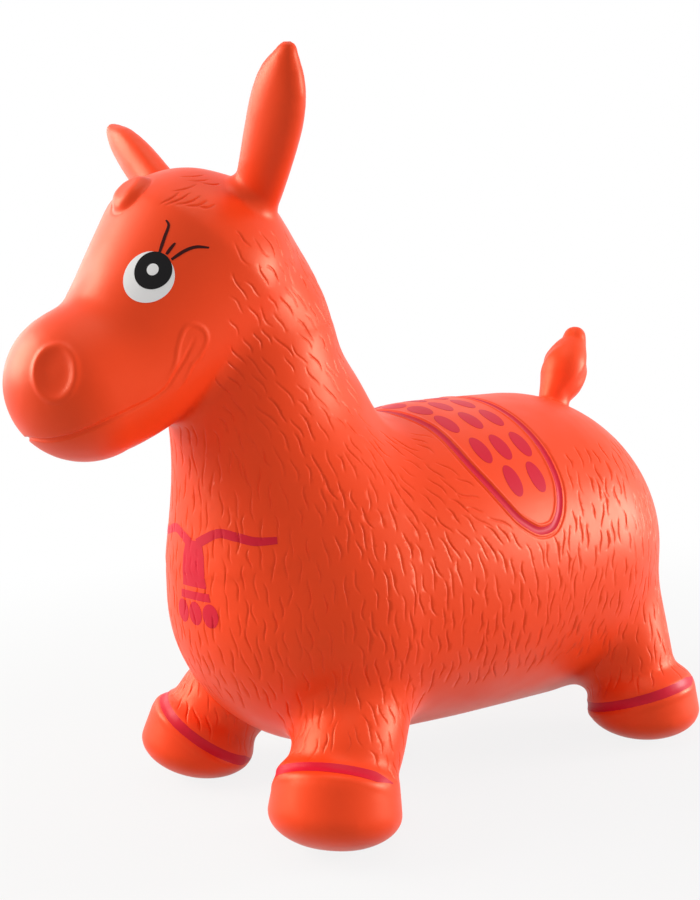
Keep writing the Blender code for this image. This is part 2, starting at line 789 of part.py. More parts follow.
def build_leg(bladder, coat, crimson, leg):
    """A soft leg, the hoof that it carries and the painted band round the top of the hoof."""
    name = leg.name
    top = leg.band - leg.down * (BAND_WIDTH / 2)
    bottom = leg.band + leg.down * (2 * HOOF_RADIUS)
    radius = HOOF_RADIUS + HOOF_SEAM_MARGIN
    soft = cylinder(f"leg_{name}_side", leg.root + leg.along * GAP, leg.below, leg.seam_radius - GAP)
    below = cylinder(f"hoof_{name}_seam", top, bottom, radius)
    firm = cylinder(f"hoof_{name}_side", top + leg.down * GAP, bottom, radius - GAP)
    start, end = top + leg.down * GAP, top + leg.down * BAND_WIDTH
    strip = cylinder(f"hoof_band_{name}_side", start, end, radius - GAP)
    pivot = bladder.pivot(f"hoof_{name}_squash", leg.hoof)
    bladder.region(f"leg_{name}", coat, keep=[soft], remove=[below])
    bladder.region(f"hoof_{name}", coat, keep=[firm], pivot=pivot)
    bladder.film(f"hoof_band_{name}", crimson, FILM, 2 * GAP, keep=[strip], pivot=pivot)


def build_eye(bladder, white, black, side, sign):
    """The white of an eye, and the pupil that lies on it."""
    at, outward = bladder.on_skin(SKULL, aim(EYE_TURN, EYE_LIFT, sign))
    ball = oval_prism(f"eye_white_{side}_outline", at, outward, EYE_WIDTH, EYE_HEIGHT)
    across = UP.cross(outward).normalized() * -sign
    shift = across * PUPIL_BACK + outward.cross(across * -sign) * PUPIL_UP
    disc = oval_prism(f"pupil_{side}_outline", at + shift, outward, PUPIL_WIDTH, PUPIL_WIDTH)
    bladder.film(f"eye_white_{side}", white, FILM, GAP, keep=[ball])
    bladder.film(f"pupil_{side}", black, FILM, GAP + FILM + GAP, keep=[disc])


def build_valve(bladder, vinyl):
    """The collar in the belly's wall, and the plug that is pushed into it."""
    low, _ = bladder.on_skin(Vector((VALVE_X, 0, BELLY.z)), -UP)
    pivot = bladder.pivot("valve_plug_pull", low)
    top = COLLAR_DEPTH
    collar = turned(
        "valve_collar",
        [(COLLAR_RADIUS, 0), (COLLAR_RADIUS, top), (BORE_RADIUS, top), (BORE_RADIUS, 0)],
    )
    bladder.add("valve_collar", collar, vinyl, pivot).location = (0, 0, 0)
    stem = BORE_RADIUS - GAP
    cap = -GAP - PLUG_CAP_THICKNESS
    plug = turned(
        "valve_plug",
        [
            (0, cap),
            (PLUG_CAP_RADIUS - PLUG_CAP_THICKNESS / 2, cap),
            (PLUG_CAP_RADIUS, cap + PLUG_CAP_THICKNESS / 2),
            (PLUG_CAP_RADIUS, -GAP),
            (stem, -GAP),
            (stem, PLUG_STEM_LENGTH - stem / 2),
            (stem / 2, PLUG_STEM_LENGTH),
            (0, PLUG_STEM_LENGTH),
        ],
    )
    bladder.add("valve_plug", plug, vinyl, pivot).location = (0, 0, 0)


def main():
    """Builds the whole horse, with the middle of its length and width over the origin."""
    for obj in list(bpy.data.objects):
        bpy.data.objects.remove(obj)
    skin, lining = finished(fused(bladder_members()))
    root = bpy.data.objects.new("horse", None)
    for axis in (0, 1):
        reach = [vertex.co[axis] for vertex in skin.vertices]
        root.location[axis] = -(min(reach) + max(reach)) / 2
    bpy.context.scene.collection.objects.link(root)
    bladder = Bladder(skin, helper("air_space", lining), root)
    coat = painted("orange vinyl", (0.95, 0.10, 0.02))
    crimson = painted("crimson paint", (0.70, 0.01, 0.05))
    white = painted("white paint", (0.90, 0.90, 0.88))
    black = painted("black paint", (0.015, 0.012, 0.012), 0.25)
    clear = painted("milky vinyl", (0.85, 0.83, 0.78))

    build_trunk(bladder, coat)
    for leg in legs():
        build_leg(bladder, coat, crimson, leg)
    for side, sign in SIDES.items():
        names = f"ear_root_{side}", f"ear_{side}"
        build_stub(bladder, coat, *names, ear_axis(sign), EAR_SEAM_RADIUS, EAR_FLEX)
        build_eye(bladder, white, black, side, sign)
    build_stub(bladder, coat, "tail_root", "tail", tail_axis(), TAIL_SEAM_RADIUS, TAIL_FLEX)
    outer, inner = saddle_fan("saddle_outline", 0.0), saddle_fan("saddle_inside", RIM_WIDTH)
    bladder.film("saddle_rim", crimson, RIM_HEIGHT, GAP, keep=[outer], remove=[inner])
    build_valve(bladder, clear)
    for obj in bpy.context.scene.collection.objects:
        if obj.parent is None and obj is not root:
            obj.parent = root


if __name__ == "__main__":
    main()
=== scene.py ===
"""Looks of an inflatable ride-on horse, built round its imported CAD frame.

The vinyl skin is blown from round forms, pressed with hair strokes and folds, and split where its limbs bend.
Paint is thin film wrapped onto the finished skin. Metres, +X to the nose, +Y to the horse's left, +Z up.
"""

import logging
import math
import random
from collections.abc import Callable, Iterable
from dataclasses import dataclass, field
from enum import Enum

import bpy
import numpy as np
from mathutils import Matrix, Vector
from mathutils.bvhtree import BVHTree
from mathutils.kdtree import KDTree


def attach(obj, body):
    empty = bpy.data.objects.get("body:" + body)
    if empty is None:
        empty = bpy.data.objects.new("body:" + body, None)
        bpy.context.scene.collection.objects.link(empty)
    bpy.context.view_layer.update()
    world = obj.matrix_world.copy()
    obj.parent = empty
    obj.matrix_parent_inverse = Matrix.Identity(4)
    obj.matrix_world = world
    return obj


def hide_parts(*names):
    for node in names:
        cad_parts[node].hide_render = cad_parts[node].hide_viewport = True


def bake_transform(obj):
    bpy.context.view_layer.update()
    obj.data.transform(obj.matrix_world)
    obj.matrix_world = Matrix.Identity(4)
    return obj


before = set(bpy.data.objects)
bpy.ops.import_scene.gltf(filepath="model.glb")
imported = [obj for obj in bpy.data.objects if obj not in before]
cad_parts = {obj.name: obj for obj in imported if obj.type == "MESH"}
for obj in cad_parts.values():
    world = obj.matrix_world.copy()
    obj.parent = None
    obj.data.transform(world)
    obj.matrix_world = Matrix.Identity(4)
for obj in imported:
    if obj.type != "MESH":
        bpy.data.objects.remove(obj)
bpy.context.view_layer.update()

log = logging.getLogger("horse")

UP = Vector((0, 0, 1))
SIDEWAYS = Vector((0, 1, 0))
ROOT_BODY = "bladder"

LINE_STEP = 0.001

Object = bpy.types.Object
Points = np.ndarray
Sections = tuple[tuple[float, float, float], ...]
Pair = tuple[float, float]


class Side(Enum):
    """A side of the horse, with the sign of its y."""

    LEFT = 1
    RIGHT = -1

    @property
    def word(self) -> str:
        """The side's name as the nodes have it."""
        return self.name.lower()

    def mirror(self, point: Vector) -> Vector:
        """A point of the left side, moved to this side."""
        return Vector((point[0], point[1] * self.value, point[2]))


class Slot(Enum):
    """The record's material slots."""

    VINYL = "orange_vinyl"
    CRIMSON = "crimson_paint"
    WHITE = "white_paint"
    BLACK = "black_paint"
    MILKY = "milky_vinyl"


def take(obj: Object) -> Object:
    """Makes an object the only selected one, and the active one.

    Args:
        obj: the object.

    Returns:
        The same object.
    """
    bpy.ops.object.select_all(action="DESELECT")
    obj.select_set(True)
    bpy.context.view_layer.objects.active = obj
    return obj


def copied(obj: Object, name: str) -> Object:
    """A copy of an object, with its own mesh.

    Args:
        obj: the object.
        name: the copy's name.

    Returns:
        The copy, selected and active.
    """
    take(obj)
    bpy.ops.object.duplicate()
    copy = bpy.context.object
    copy.name = name
    return copy


def joined(objects: Iterable[Object], name: str) -> Object:
    """Several objects joined into one mesh.

    Args:
        objects: the objects, the last of which takes in the others.
        name: the new mesh's name.

    Returns:
        The joined object.
    """
    bpy.ops.object.select_all(action="DESELECT")
    for obj in objects:
        obj.select_set(True)
        bpy.context.view_layer.objects.active = obj
    bpy.ops.object.join()
    result = bpy.context.object
    result.name = name
    return result


def applied(obj: Object) -> Object:
    """Applies all the modifiers of an object, in order.

    Args:
        obj: the object.

    Returns:
        The same object.
    """
    take(obj)
    for modifier in list(obj.modifiers):
        bpy.ops.object.modifier_apply(modifier=modifier.name)
    return obj


def rows_of(items: bpy.types.bpy_prop_collection, attribute: str) -> Points:
    """A vector of each item of a collection, one to a row.

    Args:
        items: the collection, such as the vertices of a mesh.
        attribute: the vector's name on each item.

    Returns:
        The vectors as rows.
    """
    values = np.empty(len(items) * 3, np.float32)
    items.foreach_get(attribute, values)
    return values.reshape(-1, 3).astype(float)


def points_of(obj: Object) -> Points:
    """The object's points, one to a row."""
    return rows_of(obj.data.vertices, "co")


def move_points(obj: Object, points: Points) -> None:
    """Puts the object's points where the rows say."""
    obj.data.vertices.foreach_set("co", points.astype(np.float32).ravel())
    obj.data.update()


def normals_of(obj: Object) -> Points:
    """The way that the surface faces at each point."""
    return rows_of(obj.data.vertex_normals, "vector")


def unit(rows: Points) -> Points:
    """Rows brought to length one."""
    return rows / np.maximum(np.linalg.norm(rows, axis=-1, keepdims=True), 1e-12)


def eased(values: Points) -> Points:
    """A smooth step from 0 to 1."""
    share = np.clip(values, 0, 1)
    return share * share * (3 - 2 * share)


def risen(values: Points, fade: Pair) -> Points:
    """A smooth step from 0 at a place to 1 a span further on, for a place and a span."""
    return eased((values - fade[0]) / fade[1])


def tree_of_points(points: Points) -> KDTree:
    """Points as a tree that finds the nearest.

    Args:
        points: the points, one to a row.

    Returns:
        The tree, whose indices are the rows.
    """
    tree = KDTree(len(points))
    for index, point in enumerate(points):
        tree.insert(point, index)
    tree.balance()
    return tree


def edit_faces(obj: Object, chosen: Points, operator: Callable[..., set], **settings) -> None:
    """Runs an edit-mode operator on chosen faces.

    Args:
        obj: the mesh object.
        chosen: a true or false for each face.
        operator: the operator, such as bpy.ops.mesh.subdivide.
        settings: the operator's settings.
    """
    take(obj)
    mesh = obj.data
    mesh.vertices.foreach_set("select", np.zeros(len(mesh.vertices), bool))
    mesh.edges.foreach_set("select", np.zeros(len(mesh.edges), bool))
    mesh.polygons.foreach_set("select", chosen)
    bpy.context.tool_settings.mesh_select_mode = (False, False, True)
    bpy.ops.object.mode_set(mode="EDIT")
    operator(**settings)
    bpy.ops.object.mode_set(mode="OBJECT")


def edit_all(obj: Object, operator: Callable[..., set], **settings) -> None:
    """Runs an edit-mode operator on the whole mesh."""
    edit_faces(obj, np.ones(len(obj.data.polygons), bool), operator, **settings)


def smooth_curve(points: Points, count: int, closed: bool = False) -> Points:
    """A smooth curve through a few points.

    Args:
        points: the points, one to a row, of any width.
        count: how many points to give for each span.
        closed: whether the last point joins the first.

    Returns:
        The points of the curve, one to a row.
    """
    keys = np.asarray(points, float)
    padded = np.vstack([keys[-1:], keys, keys[:2]] if closed else [keys[:1], keys, keys[-1:]])
    share = np.linspace(0, 1, count, endpoint=False)[:, None]
    spans = []
    for a, b, c, d in zip(padded, padded[1:], padded[2:], padded[3:]):
        second = (2 * a - 5 * b + 4 * c - d) * share**2
        third = (3 * b - a - 3 * c + d) * share**3
        spans.append(b + ((c - a) * share + second + third) / 2)
    return np.vstack([*spans, keys[:1] if closed else keys[-1:]])


def even_curve(points: Points, step: float) -> Points:
    """A curve with its points moved to even steps.

    Args:
        points: the curve's points.
        step: about how far apart the new ones lie.

    Returns:
        The new points, at least three.
    """
    lengths = np.concatenate([[0], np.cumsum(np.linalg.norm(np.diff(points, axis=0), axis=1))])
    places = np.linspace(0, lengths[-1], max(int(lengths[-1] / step) + 1, 3))
    return np.stack([np.interp(places, lengths, column) for column in points.T], axis=1)


class Surface:
    """A finished surface that lines and films are laid on."""

    def __init__(self, obj: Object) -> None:
        """Keeps the surface of an object as a tree that finds near points."""
        faces = [tuple(face.vertices) for face in obj.data.polygons]
        self.tree = BVHTree.FromPolygons([vertex.co for vertex in obj.data.vertices], faces)

    def away(self, point: Vector) -> float:
        """How far a point is from the surface."""
        return self.tree.find_nearest(point)[3]

    def laid(self, points: Points) -> Points:
        """Points moved to the nearest place on the surface."""
        return np.array([self.tree.find_nearest(point)[0] for point in points])

    def normals(self, points: Points) -> Points:
        """The way that the surface faces near each point."""
        return np.array([self.tree.find_nearest(point)[1] for point in points])

    def hit(self, start: Vector, direction: Vector) -> Vector:
        """Where a ray first meets the surface, or the place nearest to its start."""
        found = self.tree.ray_cast(start, direction)[0]
        return found or self.tree.find_nearest(start)[0]

    def hits(self, starts: Points, direction: Vector) -> Points:
        """Where parallel rays first meet the surface."""
        return np.array([self.hit(Vector(start), direction) for start in starts])


@dataclass(frozen=True)
class Station:
    """One cross-section of a form: its middle, and its half sizes across and deep."""

    centre: Vector
    across: float
    deep: float

    @classmethod
    def round(cls, x: float, y: float, z: float, radius: float) -> "Station":
        """A round section."""
        return cls(Vector((x, y, z)), radius, radius)

    def row(self) -> list[float]:
        """The section as numbers, for interpolation."""
        return [*self.centre, self.across, self.deep]


@dataclass
class Form:
    """A blown form with rounded ends, drawn through its stations."""

    name: str
    stations: list[Station]
    fillet: float
    broad: Vector = field(default_factory=lambda: SIDEWAYS.copy())
    front: Vector = field(default_factory=lambda: Vector((1, 0, 0.1)))
    segments: int = 160
    rings_per_span: int = 20
    dome_rings: int = 18
    roundness: float = 1.0

    def rings(self) -> Points:
        """The sections from one end to the other, with round domes at both ends.

        Returns:
            The sections, each as its middle and its two half sizes.
        """
        body = smooth_curve([station.row() for station in self.stations], self.rings_per_span)
        first = self.dome(body[0], body[0, :3] - body[1, :3])
        last = self.dome(body[-1], body[-1, :3] - body[-2, :3])
        return np.vstack([first[::-1], body, last])

    def dome(self, end: Points, outward: Points) -> Points:
        """The sections of a round end.

        Args:
            end: the last section of the body.
            outward: the way that the body ends.

        Returns:
            The sections from the body's end to the tip.
        """
        angle = np.linspace(0, math.radians(88), self.dome_rings + 1)[1:, None]
        reach = self.roundness * end[3:].mean() / np.linalg.norm(outward)
        return np.hstack([end[:3] + outward * reach * np.sin(angle), end[3:] * np.cos(angle)])

    def build(self) -> Object:
        """The form as a closed mesh, drawn out of a ball ring by ring.

        Returns:
            The closed mesh, facing outwards.
        """
        rings = self.rings()
        bpy.ops.object.select_all(action="DESELECT")
        bpy.ops.mesh.primitive_uv_sphere_add(segments=self.segments, ring_count=len(rings) + 1, radius=1)
        obj = bpy.context.object
        obj.name = self.name
        ball = points_of(obj)
        height = np.arccos(np.clip(ball[:, 2], -1, 1)) / math.pi * (len(rings) + 1) - 1
        ring = np.clip(np.rint(height), 0, len(rings) - 1).astype(int)
        angle = np.arctan2(ball[:, 1], ball[:, 0])
        side, face = np.cos(angle), np.sin(angle)
        pole = np.abs(ball[:, 2]) > 1 - 1e-6
        side[pole] = face[pole] = 0

        along = unit(np.gradient(rings[:, :3], axis=0))
        broad = np.array(self.broad)
        across = unit(broad - along * (along @ broad)[:, None])
        deep = np.cross(along, across)
        deep *= np.sign(deep @ np.array(self.front))[:, None]
        sideways = across[ring] * (rings[ring, 3] * side)[:, None]
        move_points(obj, rings[ring, :3] + sideways + deep[ring] * (rings[ring, 4] * face)[:, None])
        edit_all(obj, bpy.ops.mesh.normals_make_consistent, inside=False)
        return obj


@dataclass
class Crease:
    """A line that is pressed into the skin, or raised from it where its depth is negative."""

    points: Points
    half_width: float
    depth: float
    shares: Points | None = None
    fine: bool = True

    def depths(self) -> Points:
        """How deep the line is at each of its points.

        Returns:
            The depths, negative where the line is raised.
        """
        if self.shares is None:
            return np.full(len(self.points), self.depth)
        places = np.linspace(0, 1, len(self.points))
        return self.depth * np.interp(places, np.linspace(0, 1, len(self.shares)), self.shares)


@dataclass
class Dimple:
    """A soft oval hollow, or a swelling where its depth is negative."""

    centre: Vector
    outward: Vector
    width: float
    height: float
    depth: float
    softness: float = 1.0

    def axes(self) -> tuple[Vector, Vector]:
        """The ways across and up the oval."""
        side = UP.cross(self.outward).normalized()
        return side, self.outward.cross(side)

    def outline(self, scale: float, count: int = 72) -> Points:
        """A ring round the oval, at a share of its size.

        Args:
            scale: the share of the oval's size.
            count: how many points the ring has.

        Returns:
            The ring's points, the last one on the first.
        """
        angle = np.linspace(0, 2 * math.pi, count)[:, None]
        across, up = (np.array(axis) for axis in self.axes())
        ring = across * np.cos(angle) * self.width / 2 + up * np.sin(angle) * self.height / 2
        return np.array(self.centre) + ring * scale

    def depths(self, points: Points) -> Points:
        """How far each point sinks.

        Args:
            points: the points, one to a row.

        Returns:
            The depths, nought outside the oval.
        """
        offset = points - np.array(self.centre)
        across, up = (np.array(axis) for axis in self.axes())
        share = (offset @ across / (self.width / 2)) ** 2 + (offset @ up / (self.height / 2)) ** 2
        near = np.abs(offset @ np.array(self.outward)) < max(self.width, self.height)
        return self.depth * np.where(near, eased((1 - share) / self.softness), 0)


@dataclass
class Relief:
    """Everything that is pressed into the skin or raised from it."""

    creases: list[Crease] = field(default_factory=list)
    dimples: list[Dimple] = field(default_factory=list)
    margins: Pair = (0.0010, 0.0003)

    def add(self, creases: Iterable[Crease], dimples: Iterable[Dimple] = ()) -> None:
        """Takes in more lines and hollows."""
        self.creases += creases
        self.dimples += dimples

    def groups(self) -> list[tuple[float, bool, list[Crease]]]:
        """The creases by width and fineness."""
        keys = sorted({(crease.half_width, crease.fine) for crease in self.creases})
        return [(*key, [c for c in self.creases if (c.half_width, c.fine) == key]) for key in keys]

    def refine(self, skin: Object) -> None:
        """Gives the skin smaller faces along every crease.

        Args:
            skin: the skin, before it is pressed.
        """
        for level, margin in enumerate(self.margins):
            centres = rows_of(skin.data.polygons, "center")
            chosen = np.zeros(len(centres), bool)
            for width, fine, creases in self.groups():
                if fine or level == 0:
                    line = np.vstack([crease.points for crease in creases])
                    rows, _, away = nearest_on(line, centres, width + margin)
                    chosen[rows[away < width + margin]] = True
            settings = {"number_cuts": 1, "ngon": False, "quadcorner": "INNERVERT"}
            edit_faces(skin, chosen, bpy.ops.mesh.subdivide, **settings)

    def press(self, skin: Object) -> None:
        """Moves the skin's points in and out.

        Args:
            skin: the refined skin.
        """
        points, normals = points_of(skin), normals_of(skin)
        sunk = sum((dimple.depths(points) for dimple in self.dimples), np.zeros(len(points)))
        for width, _, creases in self.groups():
            line = np.vstack([crease.points for crease in creases])
            depth = np.concatenate([crease.depths() for crease in creases])
            piece = np.repeat(np.arange(len(creases)), [len(crease.points) for crease in creases])
            rows, index, closest = nearest_on(line, points, width)
            for step in (-1, 1):
                other = np.clip(index + step, 0, len(line) - 1)
                other = np.where(piece[other] == piece[index], other, index)
                run = line[other] - line[index]
                length = np.maximum((run**2).sum(axis=1), 1e-12)
                share = np.clip(((points[rows] - line[index]) * run).sum(axis=1) / length, 0, 1)
                away = np.linalg.norm(points[rows] - line[index] - run * share[:, None], axis=1)
                closest = np.minimum(closest, away)
            sunk[rows] += depth[index] * np.clip(1 - (closest / width) ** 2, 0, 1) ** 2
        move_points(skin, points - normals * sunk[:, None])


def nearest_on(line: Points, points: Points, reach: float) -> tuple[Points, Points, Points]:
    """The points that are near a line, and the place on it that is nearest to each.

    Args:
        line: the line's own points.
        points: the points to test.
        reach: how near is near.

    Returns:
        The rows of the near points, the row of the line nearest to each, and how far that is.
    """
    slack = reach + 1.5 * LINE_STEP
    inside = ((points > line.min(axis=0) - slack) & (points < line.max(axis=0) + slack)).all(axis=1)
    rows = np.nonzero(inside)[0]
    tree = tree_of_points(line)
    found = [tree.find(point)[1:] for point in points[rows]]
    index = np.array([place for place, _ in found], int)
    away = np.array([distance for _, distance in found], float)
    near = away < slack
    return rows[near], index[near], away[near]


@dataclass
class Leg:
    """A stub leg with its hoof, and the plane of the band painted round the hoof's top."""

    place: str
    side: Side
    root: Vector
    hoof: Vector
    radius: float
    band: Vector
    down: Vector
    outward: Vector
    bend_start: float
    bend_end: float
    pastern_radius: float = 0.0358
    pastern_height: float = 0.052
    end_radius: float = 0.030
    hoof_top: Pair = (0.040, 0.0400)
    hoof_widest: Pair = (0.0225, 0.0425)
    hoof_flatness: float = 0.53
    hoof_lean: float = 0.0
    band_half_width: float = 0.0036
    groove_press: Pair = (0.0048, 0.0009)
    ledge_press: Pair = (0.0034, -0.0004)
    ledge_drop: float = 0.0062
    fade: Pair = (-0.75, 0.8)

    @property
    def name(self) -> str:
        """The leg's name as the nodes have it."""
        return f"{self.place}_{self.side.word}"

    @property
    def body(self) -> str:
        """The CAD body that the hoof moves with."""
        return f"hoof_{self.name}"

    @property
    def ahead(self) -> Vector:
        """The way across the band that faces forwards and upwards."""
        return (Vector((1, 0, 0)) - self.down * self.down.x).normalized()

    def forms(self, fillet: float, hoof_fillet: float) -> list[Form]:
        """The leg and its hoof as forms of the bladder.

        Args:
            fillet: how far the leg's fillet reaches.
            hoof_fillet: how far the hoof's fillet reaches.

        Returns:
            The two forms.
        """
        share = (self.root.z - self.pastern_height) / (self.root.z - self.hoof.z)
        pastern = self.root.lerp(self.hoof, share)
        stations = [
            Station.round(*self.root, self.radius),
            Station.round(*pastern, self.pastern_radius),
            Station.round(*self.hoof, self.end_radius),
        ]
        heart = []
        for (height, radius), lean in ((self.hoof_top, self.hoof_lean), (self.hoof_widest, 0)):
            x, y, _ = self.hoof.lerp(self.root, lean)
            heart.append(Station.round(x, y, height, radius))
        hoof = Form(f"hoof_{self.name}_form", heart, hoof_fillet, roundness=self.hoof_flatness)
        return [Form(f"leg_{self.name}_form", stations, fillet), hoof]

    def ring(self, surface: Surface, height: float, count: int = 120) -> Points:
        """A ring on the skin round the hoof, starting at its back.

        Args:
            surface: the skin.
            height: how far below the band's middle the ring lies.
            count: how many points it has.

        Returns:
            The ring's points, the last one on the first.
        """
        middle = self.band + self.down * height
        across = self.down.cross(self.ahead)
        turns = np.linspace(-math.pi, math.pi, count)
        spokes = [self.ahead * math.cos(turn) + across * math.sin(turn) for turn in turns]
        return np.array([surface.hit(middle, spoke) for spoke in spokes])

    def front_share(self, count: int = 120) -> Points:
        """How strong the marks are round the hoof: full in front, fading at the back."""
        turns = np.linspace(-math.pi, math.pi, count)
        return risen(np.cos(turns), self.fade)

    def creases(self, surface: Surface) -> list[Crease]:
        """The groove that the band lies in, and the soft ledge under it.

        Args:
            surface: the skin.

        Returns:
            The two lines, fading at the back of the hoof.
        """
        fade = self.front_share()
        return [
            Crease(self.ring(surface, 0.0), *self.groove_press, fade, fine=False),
            Crease(self.ring(surface, self.ledge_drop), *self.ledge_press, fade, fine=False),
        ]


@dataclass
class Limb:
    """A soft part that bends with a joint: the skin past a plane, named for another body that it isn't tied
    to here.
    """

    piece: str
    body: str
    nodes: tuple[str, ...]
    origin: Vector
    outward: Vector
    start: float
    end: float
    within: float = 1.0
    slack: float = 0.002

    def holds(self, points: Points) -> Points:
        """Which points belong to the limb.

        Args:
            points: the points, one to a row.

        Returns:
            A true or false for each point.
        """
        offset = points - np.array(self.origin)
        near = np.linalg.norm(offset, axis=1) < self.within
        return near & (offset @ np.array(self.outward) > self.start)

    def bend(self, obj: Object) -> None:
        """Bakes a mesh's place into its points; nothing ties it to the bladder or to the limb's own body.

        Args:
            obj: the mesh.
        """
        self.body
        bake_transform(obj)


@dataclass
class Bladder:
    """The blown vinyl skin: its forms, how they are fused, and the pieces that it is split into."""

    grain: float = 0.005
    even_passes: int = 4
    fillet_passes: int = 60
    last_passes: int = 4
    barrel_fillet: float = 0.0003
    neck_fillet: float = 0.0385
    head_fillet: float = 0.016
    nape_fillet: float = 0.026
    leg_fillet: float = 0.036
    hoof_fillet: float = 0.006
    ear_fillet: float = 0.011
    tail_fillet: float = 0.008
    bridge: Vector = field(default_factory=lambda: Vector((0.2105, 0, 0.3580)))
    bridge_softness: float = 0.034
    bridge_strength: float = 1.5
    barrel: Sections = ((0.0465, 0.1460, 0.1106), (-0.0295, 0.1495, 0.1195), (-0.1390, 0.1470, 0.1234))
    neck: Sections = ((0.0655, 0.197, 0.0990), (0.0870, 0.262, 0.0665), (0.0975, 0.322, 0.060))
    head: Sections = ((0.1355, 0.363, 0.0690), (0.1852, 0.3148, 0.0518), (0.2155, 0.298, 0.0475))
    nape: Sections = ((0.113, 0.380, 0.047), (0.099, 0.335, 0.0585))
    withers: Sections = ((0.031, 0.225, 0.0510), (0.089, 0.292, 0.0585))
    ear_root: Vector = field(default_factory=lambda: Vector((0.1130, 0.0445, 0.406)))
    ear_tip: Vector = field(default_factory=lambda: Vector((0.1312, 0.1161, 0.4825)))
    ear_bow: Vector = field(default_factory=lambda: Vector((-0.0011, 0.0009, 0)))
    ear_bend: tuple[float, float, float] = (0.010, 0.040, 0.13)
    ear_sections: Sections = (
        (0.00, 0.0305, 0.026),
        (0.20, 0.0335, 0.026),
        (0.40, 0.0362, 0.026),
        (0.58, 0.0372, 0.025),
        (0.72, 0.0342, 0.022),
        (0.82, 0.0278, 0.019),
        (0.90, 0.0185, 0.0145),
        (0.94, 0.0130, 0.0112),
    )
    tail_root: Vector = field(default_factory=lambda: Vector((-0.2085, 0, 0.2485)))
    tail_tip: Vector = field(default_factory=lambda: Vector((-0.2355, 0, 0.3195)))
    tail_bend: tuple[float, float, float] = (0.006, 0.022, 0.11)
    tail_strands: int = 2
    tail_twist: float = 2.2
    tail_twist_start: float = 1.25
    tail_valley: Pair = (0.0080, 0.0014)
    leg_within: float = 0.12
    tail_sections: Sections = (
        (-0.2045, 0.2485, 0.0135),
        (-0.2066, 0.2620, 0.0133),
        (-0.2160, 0.2760, 0.0186),
        (-0.2220, 0.2890, 0.0196),
        (-0.2276, 0.2985, 0.0163),
        (-0.2338, 0.3080, 0.0110),
        (-0.2352, 0.3120, 0.0098),
    )

    def legs(self) -> list[Leg]:
        """The four legs.

        Returns:
            The left legs and then the right, each front and then rear.
        """
        places = {
            "front": ((0.0645, 0.0625, 0.079), (0.1083, 0.0864, 0.032), (0.1083, 0.0864, 0.042)),
            "rear": ((-0.176, 0.061, 0.108), (-0.1812, 0.1010, 0.032), (-0.1812, 0.1010, 0.035)),
        }
        ways = {
            "front": ((0.50, 0.37, -0.78), (0.4, 0.5, -0.77)),
            "rear": ((-0.08, 0.30, -0.95), (-0.25, 0.6, -0.76)),
        }
        sizes = {
            "front": {"radius": 0.035, "bend_start": 0.018, "bend_end": 0.034, "hoof_lean": 0.10},
            "rear": {"radius": 0.054, "bend_start": 0.040, "bend_end": 0.062},
        }
        result = []
        for side in Side:
            for place in places:
                root, hoof, band = (side.mirror(Vector(row)) for row in places[place])
                down, outward = (side.mirror(Vector(row).normalized()) for row in ways[place])
                turned = {"band": band, "down": down, "outward": outward}
                result.append(Leg(place, side, root, hoof, **turned, **sizes[place]))
        return result

    def forms(self) -> list[Form]:
        """Every form of the bladder, largest first.

        Returns:
            The forms; a fillet takes its reach from the later of two.
        """
        trunk = (
            ("barrel", self.barrel, self.barrel_fillet),
            ("neck", self.neck, self.neck_fillet),
            ("head", self.head, self.head_fillet),
            ("nape", self.nape, self.nape_fillet),
            ("withers", self.withers, self.nape_fillet),
        )
        return [
            *[self.middle_form(*row) for row in trunk],
            *[form for leg in self.legs() for form in leg.forms(self.leg_fillet, self.hoof_fillet)],
            *[self.ear_form(side) for side in Side],
            self.middle_form("tail", self.tail_sections, self.tail_fillet),
        ]

    @staticmethod
    def middle_form(name: str, sections: Sections, fillet: float) -> Form:
        """A form of round sections on the middle plane, each given by its x, z and radius."""
        stations = [Station.round(x, 0, z, radius) for x, z, radius in sections]
        return Form(f"{name}_form", stations, fillet)

    def ear_form(self, side: Side) -> Form:
        """A leaf-shaped ear.

        Args:
            side: the side that the ear is on.

        Returns:
            The form.
        """
        stations = []
        for share, width, thickness in self.ear_sections:
            bow = self.ear_bow * math.sin(math.pi * share)
            place = side.mirror(self.ear_root.lerp(self.ear_tip, share) + bow)
            stations.append(Station(place, width / 2, thickness / 2))
        broad = side.mirror(Vector((-0.45, 1, -0.6)))
        return Form(f"ear_{side.word}_form", stations, self.ear_fillet, broad)

    def fused(self) -> Object:
        """The forms as one closed skin, filleted where they meet.

        Returns:
            The skin, standing on the floor.
        """
        forms = self.forms()
        solids = [form.build() for form in forms]
        surfaces = [Surface(solid) for solid in solids]
        shapes = joined(solids, "forms")
        skin = copied(shapes, "skin")
        remesh = skin.modifiers.new("one skin", "REMESH")
        remesh.mode = "VOXEL"
        remesh.voxel_size = self.grain
        applied(skin)

